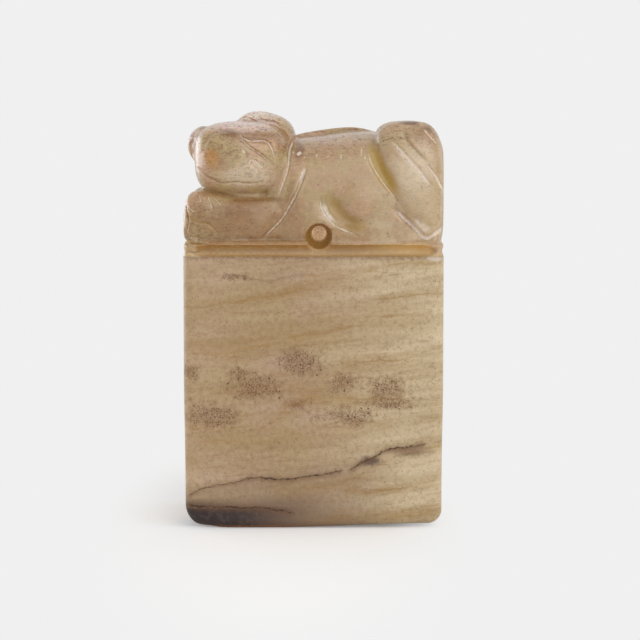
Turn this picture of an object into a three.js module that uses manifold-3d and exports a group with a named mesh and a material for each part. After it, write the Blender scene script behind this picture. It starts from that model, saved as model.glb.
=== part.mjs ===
// A stone seal: a rectangular block whose base is the engraved printing face, with a recumbent
// beast carved on top as its knob and a cord hole drilled through under the belly.
// Units are millimetres. +X runs towards the beast's tail, -Y towards its face, +Z up.
// The origin is on the printing face, at the middle of the base.
//
// The real seal is one stone. It is given here as its two named parts, the block and the knob,
// which meet face to face on the plane of the block's top edge, where the carving starts.
import * as THREE from "three";
import { mergeVertices } from "three/addons/utils/BufferGeometryUtils.js";
import Module from "manifold-3d";

const wasm = await Module();
wasm.setup();

// Block
const BLOCK_WIDTH = 40; // along X
const BLOCK_DEPTH = 26; // along Y
const BLOCK_HEIGHT = 42; // printing face to the top edge
const CORNER_RADIUS = 1.5; // upright edges
const WORN_RADIUS = 2.9; // bottom edge under the beast's head, the most rubbed one
const BASE_RADIUS = 1.3; // the other bottom edges

// Printing face
const FACE_BORDER = 1.5; // raised line round the design
const FACE_RELIEF = 0.9; // depth of the cut ground
const FRET_LINE = 0.9; // width of a raised line of the fret
const FRET_GAP = 1.1; // cut ground between one raised line and the next
const FRET_COLUMNS = 4;
const FRET_ROWS = 3;

// Foot of the knob, a slab that the beast lies on
const FOOT_HEIGHT = 2.4;
const FOOT_ROUNDING = 0.8;
const FLUTE_RADIUS = 0.92; // hollow run along each side of the foot
const FLUTE_RISE = 0.93; // its middle above the block's top edge
const FLUTE_STOP = 0.7; // corner left full at each end of it
const FLUTE_TAPER = 3.5; // stretch over which the wheel ran out of the stone at each end
const BALL_RADIUS = 1.35; // ball under each forepaw, at the foot's corner

// Cord hole, drilled from both faces
const HOLE_MOUTH_RADIUS = 1.95;
const HOLE_WAIST_RADIUS = 1.1;
const HOLE_RISE = 2.8; // middle of each mouth above the block's top edge
const HOLE_CLIMB = 3.0; // how much higher the two drillings meet
const HOLE_OFFSET = 0.85; // its middle from the middle of the block, towards the tail

// Outline of the stone that the beast is carved from
const KNOB_CORNER_RADIUS = 2.3;
const KNOB_TOP_RADIUS = 3.4;

// Trunk, with heights from the block's top edge
const SKIN_INSET = 0.12; // legs, haunches and face inside the block's faces
const FLANK_INSET = 0.75; // flank inside the block's long faces
const BACK_RISE = 19.1; // top of the back at the loins
const NECK_DIP = 1.1; // how much lower the back is behind the head
const RUMP_DIP = 0.7; // how much lower the back is before the haunches
const SPINE_WIDTH = 1.8;
const SPINE_LENGTH = 14;

// Head, turned to look out over the block's -Y face
const HEAD_WIDTH = 15;
const HEAD_DEPTH = 17.2;
const HEAD_HEIGHT = 12;
const HEAD_RISE = 8.7; // underside of the chin above the block's top edge
const HEAD_INSET = 1.5; // cheek inside the block's end face
const HEAD_SQUARENESS = 3;
const MUZZLE_SWELL = 0.5;
const EYE_HOLLOW = 0.45;
const EYE_SIZE = 1.7;
const EAR_LIFT = 1.7; // near ear above the top of the head
const EAR_WIDTH = 3.4;
const EAR_THICKNESS = 6;
const LOCK_THICKNESS = 4;

// Forelegs, lying along the block to paws at its end
const LEG_LENGTH = 17.5;
const LEG_HEIGHT = 7.8;
const LEG_THICKNESS = 8.6;
const ELBOW_TUCK = 1.8; // how far the elbow lies under the flank
const PAW_HEIGHT = 9.2;
const BREAST_INSET = 3.2; // breast, and the rump under the tail, inside the end faces
const BREAST_ROUNDING = 2;
const TOES = 4; // on each paw
const TOE_LENGTH = 4.6;

// Hindquarters
const HAUNCH_RISE = 20.3; // top of the haunch above the block's top edge
const HAUNCH_WIDTH = 10.9;
const HAUNCH_THICKNESS = 10.8;
const HAUNCH_TUCK = 1.2; // how far its top leans in over the back
const THIGH_REACH = 12.6; // middle of the thigh from the block's end face
const THIGH_RISE = 9; // middle of the thigh above the block's top edge
const THIGH_WIDTH = 9.6;
const THIGH_THICKNESS = 6.4;
const SHIN_LENGTH = 19.6;
const SHIN_WIDTH = 7.6;
const TAIL_THICKNESS = 5.6;

// Carved lines and channels
const CHANNEL_WIDTH = 1.5;
const CHANNEL_DEPTH = 0.9; // below the flank
const LINE_WIDTH = 0.8;
const LINE_DEPTH = 0.45;
const MANE_LOCKS = 4;

const HALF_WIDTH = BLOCK_WIDTH / 2;
const HALF_DEPTH = BLOCK_DEPTH / 2;
const ALONG_X = new THREE.Vector3(1, 0, 0);
const ALONG_Y = new THREE.Vector3(0, 1, 0);
const ALONG_Z = new THREE.Vector3(0, 0, 1);
const FRONT = -1; // the long face that the beast looks over
const BACK = 1;
const SIDES = [FRONT, BACK];

// Places on the beast are written as [distance in from an end face, distance in from a long
// face, height above the block's top edge].
const fromHeadEnd = (side, points) =>
  points.map(([x, inset, z]) => [x - HALF_WIDTH, side * (HALF_DEPTH - inset), BLOCK_HEIGHT + z]);
const fromTailEnd = (side, points) =>
  points.map(([x, inset, z]) => [HALF_WIDTH - x, side * (HALF_DEPTH - inset), BLOCK_HEIGHT + z]);

// A closed surface through rings of equally many points, with a pole at each end.
function skin(rings, poles = [middle(rings[0]), middle(rings.at(-1))]) {
  const count = rings[0].length;
  const points = [...rings.flat(), ...poles];
  const [first, last] = [points.length - 2, points.length - 1];
  const faces = [];
  for (let j = 0; j < count; j++) {
    const k = (j + 1) % count;
    faces.push(first, k, j);
    for (let i = 0; i + 1 < rings.length; i++) {
      const [a, b, c, d] = [i * count + j, i * count + k, (i + 1) * count + k, (i + 1) * count + j];
      faces.push(a, b, c, a, c, d);
    }
    const base = (rings.length - 1) * count;
    faces.push(last, base + j, base + k);
  }
  const geometry = new THREE.BufferGeometry().setFromPoints(points);
  geometry.setIndex(faces);
  return geometry;
}

function middle(ring) {
  return ring.reduce((sum, point) => sum.add(point), new THREE.Vector3()).divideScalar(ring.length);
}

// A geometry as a manifold-3d solid, with its faces turned outwards.
function solid(geometry) {
  const bare = geometry.clone();
  bare.deleteAttribute("normal");
  bare.deleteAttribute("uv");
  const merged = mergeVertices(bare, 1e-4);
  const vertProperties = merged.attributes.position.array;
  const faces = [];
  for (let i = 0; i < merged.index.count; i += 3) {
    const [a, b, c] = [0, 1, 2].map((k) => merged.index.getX(i + k));
    if (a !== b && b !== c && c !== a) faces.push([a, b, c]);
  }
  const make = (triangles) => {
    const triVerts = new Uint32Array(triangles.flat());
    return new wasm.Manifold(new wasm.Mesh({ numProp: 3, vertProperties, triVerts }));
  };
  const body = make(faces);
  return body.volume() > 0 ? body : make(faces.map(([a, b, c]) => [a, c, b]));
}

// A solid as a named mesh of the finished model.
function piece(name, body, material) {
  const { vertProperties, triVerts } = body.getMesh();
  const geometry = new THREE.BufferGeometry();
  geometry.setAttribute("position", new THREE.BufferAttribute(vertProperties, 3));
  geometry.setIndex(new THREE.BufferAttribute(triVerts, 1));
  geometry.computeVertexNormals();
  const mesh = new THREE.Mesh(geometry, material);
  mesh.name = name;
  return mesh;
}

const join = (bodies) => bodies.reduce((whole, body) => whole.add(body));
const cut = (whole, bodies) => bodies.reduce((rest, body) => rest.subtract(body), whole);

// A smooth curve through values given at even steps, read at any share of the way.
function along(values, share) {
  const curve = new THREE.SplineCurve(values.map((value, i) => new THREE.Vector2(i, value)));
  return curve.getPoint(share).y;
}

// A point of a superellipse at a polar angle: a power of 2 is an ellipse, and higher powers
// are boxes with ever tighter corners.
function superellipse(angle, halfA, halfB, power) {
  const [c, s] = [Math.cos(angle), Math.sin(angle)];
  const reach = (Math.abs(c / halfA) ** power + Math.abs(s / halfB) ** power) ** (-1 / power);
  return [c * reach, s * reach];
}

// How far a superellipse of half-size 1 still reaches across, at a place along it.
const closing = (place, power) => Math.max(1 - Math.abs(place) ** power, 0) ** (1 / power);

// Steps from -1 to 1 that crowd towards both ends, where a rounded end turns fastest.
const crowded = (i, steps) => -Math.cos((Math.PI * i) / steps);

// A swelling limb: superellipse sections carried along a curve and closed round at both ends.
// A section's thickness lies along the flat direction, and its width across that and the curve.
// It closes over its whole length by the blunt power, or as an ellipse over a taper's length.
function limb(points, widths, thicknesses, options = {}) {
  const { power = 2.3, blunt = 2.6, taper, steps = 10, sides = 14, flat = ALONG_Y } = options;
  const curve = new THREE.CatmullRomCurve3(points.map((point) => new THREE.Vector3(...point)));
  const tapers = taper ? curve.getLength() / (2 * taper) : 1;
  const narrowing = (place) =>
    taper ? closing(Math.max(1 - (1 - Math.abs(place)) * tapers, 0), 2) : closing(place, blunt);
  const rings = [];
  for (let i = 1; i < steps; i++) {
    const place = crowded(i, steps);
    const share = (1 + place) / 2;
    const tangent = curve.getTangentAt(share);
    const thick = flat.clone().addScaledVector(tangent, -flat.dot(tangent)).normalize();
    const across = new THREE.Vector3().crossVectors(tangent, thick);
    const [halfWidth, halfThick] = [widths, thicknesses].map(
      (sizes) => (along(sizes, share) / 2) * narrowing(place),
    );
    const ring = [];
    for (let j = 0; j < sides; j++) {
      const [a, b] = superellipse((2 * Math.PI * j) / sides, halfWidth, halfThick, power);
      ring.push(curve.getPointAt(share).addScaledVector(across, a).addScaledVector(thick, b));
    }
    rings.push(ring);
  }
  return solid(skin(rings, [curve.getPointAt(0), curve.getPointAt(1)]));
}

// An upright rounded block. Each level gives a height and how far the four sides stand in there.
function roundedBlock(halfX, halfY, radius, levels, cornerSteps = 5) {
  const rings = levels.map(({ z, head = 0, tail = 0, front = 0, back = 0 }) => {
    const ring = [];
    for (const [sx, sy, quarter] of [[1, 1, 0], [-1, 1, 1], [-1, -1, 2], [1, -1, 3]]) {
      const [insetX, insetY] = [sx > 0 ? tail : head, sy > 0 ? back : front];
      const r = Math.max(radius - Math.min(insetX, insetY) / 2, radius / 4);
      for (let i = 0; i <= cornerSteps; i++) {
        const angle = (Math.PI / 2) * (quarter + i / cornerSteps);
        const x = sx * (halfX - insetX - r) + r * Math.cos(angle);
        ring.push(new THREE.Vector3(x, sy * (halfY - insetY - r) + r * Math.sin(angle), z));
      }
    }
    return ring;
  });
  return solid(skin(rings));
}

const evenInset = (inset) => ({ head: inset, tail: inset, front: inset, back: inset });

// The levels of a block's upper edge, rounded over by a quarter circle up to its top.
function roundedTop(top, radius, steps = 5) {
  const levels = [];
  for (let i = 0; i <= steps; i++) {
    const angle = (Math.PI / 2) * (i / steps);
    levels.push({ z: top - radius * (1 - Math.sin(angle)), ...evenInset(radius * (1 - Math.cos(angle))) });
  }
  return levels;
}

// How far a quarter-round bottom edge stands in at a height above the base.
const edgeInset = (radius, height) =>
  height >= radius ? 0 : radius - Math.sqrt(radius ** 2 - (radius - height) ** 2);

// The block before its printing face is cut.
function blockBlank() {
  const steps = 8;
  const levels = [];
  for (let i = 0; i <= steps; i++) {
    const z = WORN_RADIUS * (1 - Math.cos((Math.PI / 2) * (i / steps)));
    levels.push({ z, ...evenInset(edgeInset(BASE_RADIUS, z)), head: edgeInset(WORN_RADIUS, z) });
  }
  levels.push({ z: BLOCK_HEIGHT });
  return roundedBlock(HALF_WIDTH, HALF_DEPTH, CORNER_RADIUS, levels);
}

// The corners of a raised line that winds into a square spiral.
function spiral(cx, cy, width, height, turn) {
  const pitch = FRET_LINE + FRET_GAP;
  const [a, b] = [(width - FRET_LINE) / 2, (height - FRET_LINE) / 2];
  const outer = [[-a, -b], [-a, b], [a, b], [a, -b]];
  const inner = [[-a + pitch, -b], [-a + pitch, b - pitch], [a - pitch, b - pitch]];
  return [...outer, ...inner].map(([x, y]) => [cx + turn * x, cy + turn * y]);
}

// A straight raised line between two of those corners.
function bar([x0, y0], [x1, y1], bottom, top) {
  const box = new THREE.BoxGeometry(
    Math.abs(x1 - x0) + FRET_LINE,
    Math.abs(y1 - y0) + FRET_LINE,
    top - bottom,
  );
  return solid(box.translate((x0 + x1) / 2, (y0 + y1) / 2, (bottom + top) / 2));
}

// The ground of the printing face: all that is cut away round its raised border and fret.
function faceGround() {
  const low = [-HALF_WIDTH + WORN_RADIUS + FACE_BORDER, -HALF_DEPTH + BASE_RADIUS + FACE_BORDER];
  const high = [HALF_WIDTH - BASE_RADIUS - FACE_BORDER, HALF_DEPTH - BASE_RADIUS - FACE_BORDER];
  const size = [high[0] - low[0], high[1] - low[1]];
  const ground = new THREE.BoxGeometry(...size, 2 * FACE_RELIEF);
  ground.translate((low[0] + high[0]) / 2, (low[1] + high[1]) / 2, 0);
  const cell = [(size[0] - FRET_GAP) / FRET_COLUMNS, (size[1] - FRET_GAP) / FRET_ROWS];
  const bars = [];
  for (let i = 0; i < FRET_COLUMNS; i++) {
    for (let j = 0; j < FRET_ROWS; j++) {
      const cx = low[0] + FRET_GAP / 2 + cell[0] * (i + 0.5);
      const cy = low[1] + FRET_GAP / 2 + cell[1] * (j + 0.5);
      const corners = spiral(cx, cy, cell[0] - FRET_GAP, cell[1] - FRET_GAP, (i + j) % 2 ? -1 : 1);
      corners.slice(1).forEach((corner, k) => {
        bars.push(bar(corners[k], corner, -2 * FACE_RELIEF, 2 * FACE_RELIEF));
      });
    }
  }
  return cut(solid(ground), [join(bars)]);
}

const headTop = HEAD_RISE + HEAD_HEIGHT;

// The stone above the block's top edge before it is carved.
function knobBlank() {
  const top = BLOCK_HEIGHT + Math.max(headTop + EAR_LIFT, HAUNCH_RISE, BACK_RISE);
  const levels = [{ z: BLOCK_HEIGHT }, ...roundedTop(top + KNOB_TOP_RADIUS / 3, KNOB_TOP_RADIUS)];
  return roundedBlock(HALF_WIDTH, HALF_DEPTH, KNOB_CORNER_RADIUS, levels);
}

function foot() {
  const levels = [{ z: BLOCK_HEIGHT }, ...roundedTop(BLOCK_HEIGHT + FOOT_HEIGHT, FOOT_ROUNDING, 3)];
  return roundedBlock(HALF_WIDTH, HALF_DEPTH, CORNER_RADIUS, levels);
}

// The trunk: upright sections carried along X, flat at the flanks and arched over the back.
function trunk() {
  const start = -HALF_WIDTH + HEAD_INSET + 0.7 * HEAD_WIDTH;
  const end = HALF_WIDTH - FLANK_INSET;
  const dips = [1.5 * NECK_DIP, NECK_DIP, NECK_DIP / 2, 0, RUMP_DIP, 1.6 * RUMP_DIP, 2.4 * RUMP_DIP];
  const tops = dips.map((dip) => BACK_RISE - dip);
  const waists = [1.6, 1, 1, 1.1, 1.3, 1.5, 2].map((share) => HALF_DEPTH - FLANK_INSET * share);
  const bottom = -FOOT_HEIGHT; // the flanks are still upright where they meet the foot
  const steps = 18;
  const sides = 32;
  const at = (x, y, z) => new THREE.Vector3(x, y, BLOCK_HEIGHT + z);
  const rings = [];
  for (let i = 1; i < steps; i++) {
    const place = crowded(i, steps);
    const share = (1 + place) / 2;
    const top = along(tops, share);
    const halfY = along(waists, share) * closing(place, 7);
    const halfZ = ((top - bottom) / 2) * closing(place, 7);
    const ring = [];
    for (let j = 0; j < sides; j++) {
      const [y, z] = superellipse((2 * Math.PI * (j + 0.5)) / sides, halfY, halfZ, 3.2);
      ring.push(at(start + (end - start) * share, y, (top + bottom) / 2 + z));
    }
    rings.push(ring);
  }
  const poles = [start, end].map((x) => at(x, 0, (BACK_RISE + bottom) / 2));
  return solid(skin(rings, poles));
}

// A low ridge along the middle of the back.
function spine() {
  const start = HEAD_INSET + HEAD_WIDTH;
  const places = [[0, NECK_DIP], [0.3, NECK_DIP / 2], [0.6, 0], [1, RUMP_DIP]];
  const ridge = places.map(([share, dip]) => [
    start + share * SPINE_LENGTH,
    HALF_DEPTH,
    BACK_RISE - dip - SPINE_WIDTH / 5,
  ]);
  const widths = [SPINE_WIDTH, SPINE_WIDTH];
  return limb(fromHeadEnd(FRONT, ridge), widths, widths, { sides: 10 });
}

// The head's own frame has its origin at the middle of the head.
const headCentre = new THREE.Vector3(
  -HALF_WIDTH + HEAD_INSET + HEAD_WIDTH / 2,
  -HALF_DEPTH + HEAD_DEPTH / 2 + SKIN_INSET,
  BLOCK_HEIGHT + HEAD_RISE + HEAD_HEIGHT / 2,
);

// A point of the head from its shares of the head's width, depth and height, measured from the
// head's middle, so that 0.5 is the middle of a side.
const onHead = ([u, v, w]) =>
  new THREE.Vector3(u * HEAD_WIDTH, v * HEAD_DEPTH, w * HEAD_HEIGHT).add(headCentre).toArray();

// A smooth swelling, 1 at its middle and fading to nothing around it.
const swelling = (u, w, cu, cw, ru, rw) => Math.exp(-(((u - cu) / ru) ** 2) - ((w - cw) / rw) ** 2);

// How far the muzzle stands out of the rounded face, less how deep the eyes' hollows are, at
// shares of the head's width and height from its middle.
const faceRelief = (u, w) =>
  MUZZLE_SWELL * swelling(u, w, 0.02, -0.2, 0.22, 0.17) -
  EYE_HOLLOW * (swelling(u, w, -0.28, 0.06, 0.1, 0.2) + swelling(u, w, 0.2, 0.2, 0.17, 0.12));

// The head: level sections stacked upwards, with the relief of the face on the -Y side.
function skull() {
  const steps = 18;
  const sides = 36;
  const at = (x, y, z) => new THREE.Vector3(x, y, z).add(headCentre);
  const rings = [];
  for (let i = 1; i < steps; i++) {
    const level = crowded(i, steps);
    const close = closing(level, HEAD_SQUARENESS);
    const ring = [];
    for (let j = 0; j < sides; j++) {
      const [halfX, halfY] = [(HEAD_WIDTH / 2) * close, (HEAD_DEPTH / 2) * close];
      const [x, y] = superellipse((2 * Math.PI * j) / sides, halfX, halfY, HEAD_SQUARENESS);
      const z = (HEAD_HEIGHT / 2) * level;
      const facing = Math.max(-y / (HEAD_DEPTH / 2), 0) ** 2;
      ring.push(at(x, y - faceRelief(x / HEAD_WIDTH, level / 2) * facing, z));
    }
    rings.push(ring);
  }
  return solid(skin(rings, [at(0, 0, -HEAD_HEIGHT / 2), at(0, 0, HEAD_HEIGHT / 2)]));
}

// A place on the face from its shares of the head's width and height, sunk below the skin.
function onFace([u, w], sunk = 0) {
  const close = closing(2 * w, HEAD_SQUARENESS);
  const reach = closing((2 * u) / close, HEAD_SQUARENESS);
  const out = (close * reach) / 2 + (faceRelief(u, w) - sunk) / HEAD_DEPTH;
  return onHead([u, -out, w]);
}

// The eye on the side that shows, standing a little out of its hollow.
function eye() {
  const slant = [[0.04, 0.28], [0.18, 0.2], [0.32, 0.04]].map((point) => onFace(point, EYE_SIZE / 5));
  return limb(slant, [EYE_SIZE, EYE_SIZE], [EYE_SIZE, EYE_SIZE], { sides: 10 });
}

// Ears laid back on the head, the nape, and the locks of the mane down over it.
function mane() {
  const crest = 0.5 + (EAR_LIFT - EAR_WIDTH / 2) / HEAD_HEIGHT;
  const far = [[-0.4, 0.03, -0.05], [-0.43, 0.01, 0.22], [-0.32, 0.02, 0.39]];
  const near = [
    [-0.07, 0.1, crest - 0.06],
    [0.1, 0.1, crest],
    [0.29, 0.06, crest - 0.05],
    [0.42, 0.01, crest - 0.15],
    [0.46, -0.01, crest - 0.37],
    [0.45, -0.03, crest - 0.64],
  ];
  const ear = (points, widths, thicknesses, steps) =>
    limb(
      points.map(onHead),
      widths.map((share) => share * EAR_WIDTH),
      thicknesses.map((share) => share * EAR_THICKNESS),
      { steps },
    );
  const nape = limb(
    [[-0.42, 0.46, -0.1], [0.2, 0.46, -0.1], [0.9, 0.46, -0.1]].map(onHead),
    [0.8 * HEAD_HEIGHT, 0.8 * HEAD_HEIGHT],
    [0.32 * HEAD_DEPTH, 0.32 * HEAD_DEPTH],
    { power: 3, blunt: 6 },
  );
  const parts = [
    ear(far, [0.95, 1.2, 1.05], [0.85, 1, 0.7], 10),
    ear(near, [0.8, 0.95, 1, 1, 0.85, 0.65], [0.85, 1, 1.3, 1.5, 1.5, 1.2], 14),
    nape,
  ];
  const spread = 0.76; // share of the head's width that the locks cover
  const width = (1.3 * spread * HEAD_WIDTH) / MANE_LOCKS;
  for (let i = 0; i < MANE_LOCKS; i++) {
    const u = spread * ((i + 0.5) / MANE_LOCKS - 0.5);
    const lock = [[u, 0.4, 0.42], [u + 0.03, 0.57, 0.26], [u + 0.1, 0.6, -0.2]];
    const depths = [0.75, 1, 0.8].map((share) => share * LOCK_THICKNESS);
    const options = { flat: ALONG_X, sides: 12 };
    parts.push(limb(lock.map(onHead), depths, [width, width, 0.8 * width], options));
  }
  return parts;
}

function foreleg(side) {
  const inset = LEG_THICKNESS / 2 + SKIN_INSET;
  const underside = FLUTE_RISE + FLUTE_RADIUS;
  const leg = [
    [LEG_LENGTH, inset + ELBOW_TUCK, underside + LEG_HEIGHT / 2],
    [0.69 * LEG_LENGTH, inset + 0.1 * ELBOW_TUCK, underside + LEG_HEIGHT / 2],
    [0.34 * LEG_LENGTH, inset, underside + LEG_HEIGHT / 2],
    [0, inset, underside + PAW_HEIGHT / 2],
  ];
  const heights = [1.1 * LEG_HEIGHT, LEG_HEIGHT, (LEG_HEIGHT + PAW_HEIGHT) / 2, PAW_HEIGHT];
  const thicknesses = [0.88, 1, 0.94, 1].map((share) => share * LEG_THICKNESS);
  return limb(fromHeadEnd(side, leg), heights, thicknesses, { power: 2.8, blunt: 5, steps: 12, sides: 18 });
}

// The grooves between the toes, over the top and the end of a paw.
function toeCuts(side) {
  const top = FLUTE_RISE + FLUTE_RADIUS + PAW_HEIGHT;
  const cuts = [];
  for (let i = 1; i < TOES; i++) {
    const inset = SKIN_INSET + (LEG_THICKNESS * i) / TOES;
    const groove = [
      [TOE_LENGTH, inset, top],
      [0.35 * TOE_LENGTH, inset, top - 0.05 * PAW_HEIGHT],
      [0, inset, top - 0.33 * PAW_HEIGHT],
      [0, inset, FOOT_HEIGHT + 0.1 * PAW_HEIGHT],
    ];
    const [width, depth] = [2 * LINE_DEPTH, LINE_WIDTH];
    const path = fromHeadEnd(side, groove);
    cuts.push(limb(path, [width, width], [depth, depth], { power: 2, steps: 10, sides: 8 }));
  }
  return cuts;
}

// The stone inside the legs, from the breast between the forepaws back to the rump.
function core() {
  const top = BLOCK_HEIGHT + HEAD_RISE + 0.6 * BREAST_ROUNDING;
  const levels = [{ z: BLOCK_HEIGHT }, ...roundedTop(top, BREAST_ROUNDING, 4)];
  return roundedBlock(HALF_WIDTH - BREAST_INSET, HALF_DEPTH - LEG_THICKNESS / 2, CORNER_RADIUS, levels);
}

function hindquarter(side) {
  const inset = HAUNCH_THICKNESS / 2 + SKIN_INSET;
  const widths = [0.97, 1, 0.68, 0.35].map((share) => share * HAUNCH_WIDTH);
  const rises = [1, 0.75, 0.42, 0.04].map((share) => share * HAUNCH_RISE);
  const haunch = limb(
    fromTailEnd(side, rises.map((rise, i) => [widths[i] / 2, i ? inset : inset + HAUNCH_TUCK, rise])),
    widths,
    [0.92, 1, 1, 1].map((share) => share * HAUNCH_THICKNESS),
    { power: 2.8, blunt: 4, steps: 14, sides: 20 },
  );
  const thighInset = THIGH_THICKNESS / 2 + 2 * SKIN_INSET;
  const thigh = limb(
    fromTailEnd(side, [
      [THIGH_REACH - 0.27 * THIGH_WIDTH, thighInset + HAUNCH_TUCK / 2, THIGH_RISE + 0.46 * THIGH_WIDTH],
      [THIGH_REACH, thighInset, THIGH_RISE],
      [THIGH_REACH + 0.29 * THIGH_WIDTH, thighInset, THIGH_RISE - 0.46 * THIGH_WIDTH],
    ]),
    [0.73, 1, 0.69].map((share) => share * THIGH_WIDTH),
    [THIGH_THICKNESS, THIGH_THICKNESS],
    { power: 2.1, blunt: 2.1 },
  );
  const shinPath = [[0.11, 0.21], [0.41, 0.32], [0.71, 0.4], [1, 0.34]];
  const shin = limb(
    fromTailEnd(side, shinPath.map(([u, w]) => [u * SHIN_LENGTH, thighInset, w * SHIN_WIDTH])),
    [0.79, 1, 0.9, 0.6].map((share) => share * SHIN_WIDTH),
    [THIGH_THICKNESS, THIGH_THICKNESS],
    { power: 2.1, blunt: 3 },
  );
  return [haunch, thigh, shin];
}

// A place from the tail end in shares of the haunch's width and rise.
const onHaunch = (inset, points) => points.map(([u, w]) => [u * HAUNCH_WIDTH, inset, w * HAUNCH_RISE]);

// The tail climbs the rump between the haunches and parts into locks over them.
function tail() {
  const stemPath = onHaunch(HALF_DEPTH, [[0.2, 0.09], [0.17, 0.4], [0.24, 0.7], [0.6, 0.9]]);
  const stem = limb(
    fromTailEnd(FRONT, stemPath),
    [0.57, 0.64, 0.75, 0.82].map((share) => share * TAIL_THICKNESS),
    [0.64, 0.82, 1, 1.18].map((share) => share * TAIL_THICKNESS),
  );
  const locks = SIDES.map((side) => {
    const lock = [[0.7, 0.3, 0.9], [0.42, 0.86, 0.91], [0.18, 1.3, 0.75]].map(([u, v, w]) => [
      u * HAUNCH_WIDTH,
      HALF_DEPTH - v * TAIL_THICKNESS,
      w * HAUNCH_RISE,
    ]);
    const [widths, thicknesses] = [[0.55, 0.65, 0.45], [0.57, 0.7, 0.46]].map((shares) =>
      shares.map((share) => share * TAIL_THICKNESS),
    );
    return limb(fromTailEnd(side, lock), widths, thicknesses, { sides: 12 });
  });
  return [stem, ...locks];
}

// A rounded groove along a line on one of the long sides, cut to a depth below the flank.
function groove(points, width, depth) {
  const [wide, deep] = [width, 2 * depth];
  const widths = [0.7, 1, 1, 0.7].map((share) => share * wide);
  return limb(points, widths, [deep, deep], { power: 2, steps: 12, sides: 8 });
}

// The cuts that part the masses from each other on one long side, and the tail's main strand.
function sideCuts(side) {
  const flank = [[1.03, 0.92], [1.02, 0.77], [0.92, 0.64], [0.75, 0.52], [0.55, 0.4]];
  const channel = onHaunch(FLANK_INSET, flank);
  const strand = onHaunch(SKIN_INSET, [[0.73, 0.87], [0.55, 0.76], [0.37, 0.66], [0.17, 0.52]]);
  const hock = [[0.72, 0.37], [0.55, 0.28], [0.4, 0.21], [0.26, 0.15], [0.1, 0.19], [0, 0.23]];
  const heel = onHaunch(SKIN_INSET, hock);
  const fold = [[0.55, 0.15], [0.52, -0.1], [0.36, -0.3], [0.08, -0.45], [-0.28, -0.52]].map(([u, w]) => [
    THIGH_REACH + u * THIGH_WIDTH,
    FLANK_INSET,
    THIGH_RISE + w * THIGH_WIDTH,
  ]);
  const cheek = [[1.07, 1, 1.7], [1.02, 1, 1.36], [0.91, 0.6, 0.88], [0.7, 0.2, 0.36]];
  const shoulder = cheek.map(([u, v, w]) => [u * LEG_LENGTH, v * FLANK_INSET, w * LEG_HEIGHT]);
  return [
    groove(fromTailEnd(side, channel), 1.3 * CHANNEL_WIDTH, CHANNEL_DEPTH),
    groove(fromTailEnd(side, fold), 1.3 * CHANNEL_WIDTH, CHANNEL_DEPTH),
    groove(fromHeadEnd(side, shoulder), LINE_WIDTH, LINE_DEPTH),
    groove(fromTailEnd(side, strand), LINE_WIDTH, LINE_DEPTH),
    groove(fromTailEnd(side, heel), LINE_WIDTH, LINE_DEPTH),
  ];
}

// The lines cut into the face: the edge of the brow, the lids, the nose, the lip and the mouth.
function faceCuts() {
  const lines = [
    [[-0.43, -0.02], [-0.39, 0.14], [-0.3, 0.34], [-0.14, 0.4], [0.05, 0.38], [0.35, 0.33]],
    [[0.0, 0.36], [0.1, 0.25], [0.25, 0.26], [0.33, 0.1], [0.34, 0]],
    [[-0.02, 0.3], [0.16, 0.12], [0.34, -0.08]],
    [[-0.13, 0.07], [-0.04, 0.12], [0.07, 0.07]],
    [[-0.45, -0.1], [-0.3, -0.22], [-0.14, -0.27], [0.05, -0.27], [0.25, -0.26], [0.38, -0.2]],
  ];
  const [wide, deep] = [0.8 * LINE_WIDTH, 4 * LINE_DEPTH];
  const sunk = LINE_DEPTH - deep / 2;
  return lines.map((line) => {
    const drawn = new THREE.SplineCurve(line.map((point) => new THREE.Vector2(...point)));
    const places = drawn.getPoints(3 * line.length).map((place) => onFace([place.x, place.y], sunk));
    return limb(places, [wide, wide], [deep, deep], { power: 2, steps: 12, sides: 8 });
  });
}

// The hollow along each side of the foot, which runs out towards the corners.
function flutes() {
  const wide = [2 * FLUTE_RADIUS, 2 * FLUTE_RADIUS];
  const options = { power: 2, taper: FLUTE_TAPER, steps: 16, sides: 16, flat: ALONG_Z };
  const z = FLUTE_RISE;
  const long = (side) =>
    fromHeadEnd(side, [FLUTE_STOP, HALF_WIDTH, BLOCK_WIDTH - FLUTE_STOP].map((x) => [x, 0, z]));
  const short = (from) =>
    from(FRONT, [FLUTE_STOP, HALF_DEPTH, BLOCK_DEPTH - FLUTE_STOP].map((y) => [0, y, z]));
  const paths = [...SIDES.map(long), short(fromHeadEnd), short(fromTailEnd)];
  return paths.map((path) => limb(path, wide, wide, options));
}

// The round corners of the foot under the forepaws.
function balls() {
  return SIDES.map((side) => {
    const [place] = fromHeadEnd(side, [[BALL_RADIUS, BALL_RADIUS, BALL_RADIUS + SKIN_INSET]]);
    return solid(new THREE.SphereGeometry(BALL_RADIUS, 20, 12).translate(...place));
  });
}

// The cord hole: two drillings that open towards their mouths and climb to meet in the middle.
function cordHole() {
  const reach = HALF_DEPTH + SKIN_INSET;
  const steps = 10;
  const sides = 24;
  const rings = [];
  for (let i = 0; i <= steps; i++) {
    const place = crowded(i, steps);
    const radius = THREE.MathUtils.lerp(HOLE_WAIST_RADIUS, HOLE_MOUTH_RADIUS, Math.abs(place) ** 6);
    const rise = HOLE_RISE + HOLE_CLIMB * (1 - Math.abs(place));
    const ring = [];
    for (let j = 0; j < sides; j++) {
      const angle = (2 * Math.PI * j) / sides;
      const x = HOLE_OFFSET + radius * Math.cos(angle);
      ring.push(new THREE.Vector3(x, place * reach, BLOCK_HEIGHT + rise + radius * Math.sin(angle)));
    }
    rings.push(ring);
  }
  return solid(skin(rings));
}

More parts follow.
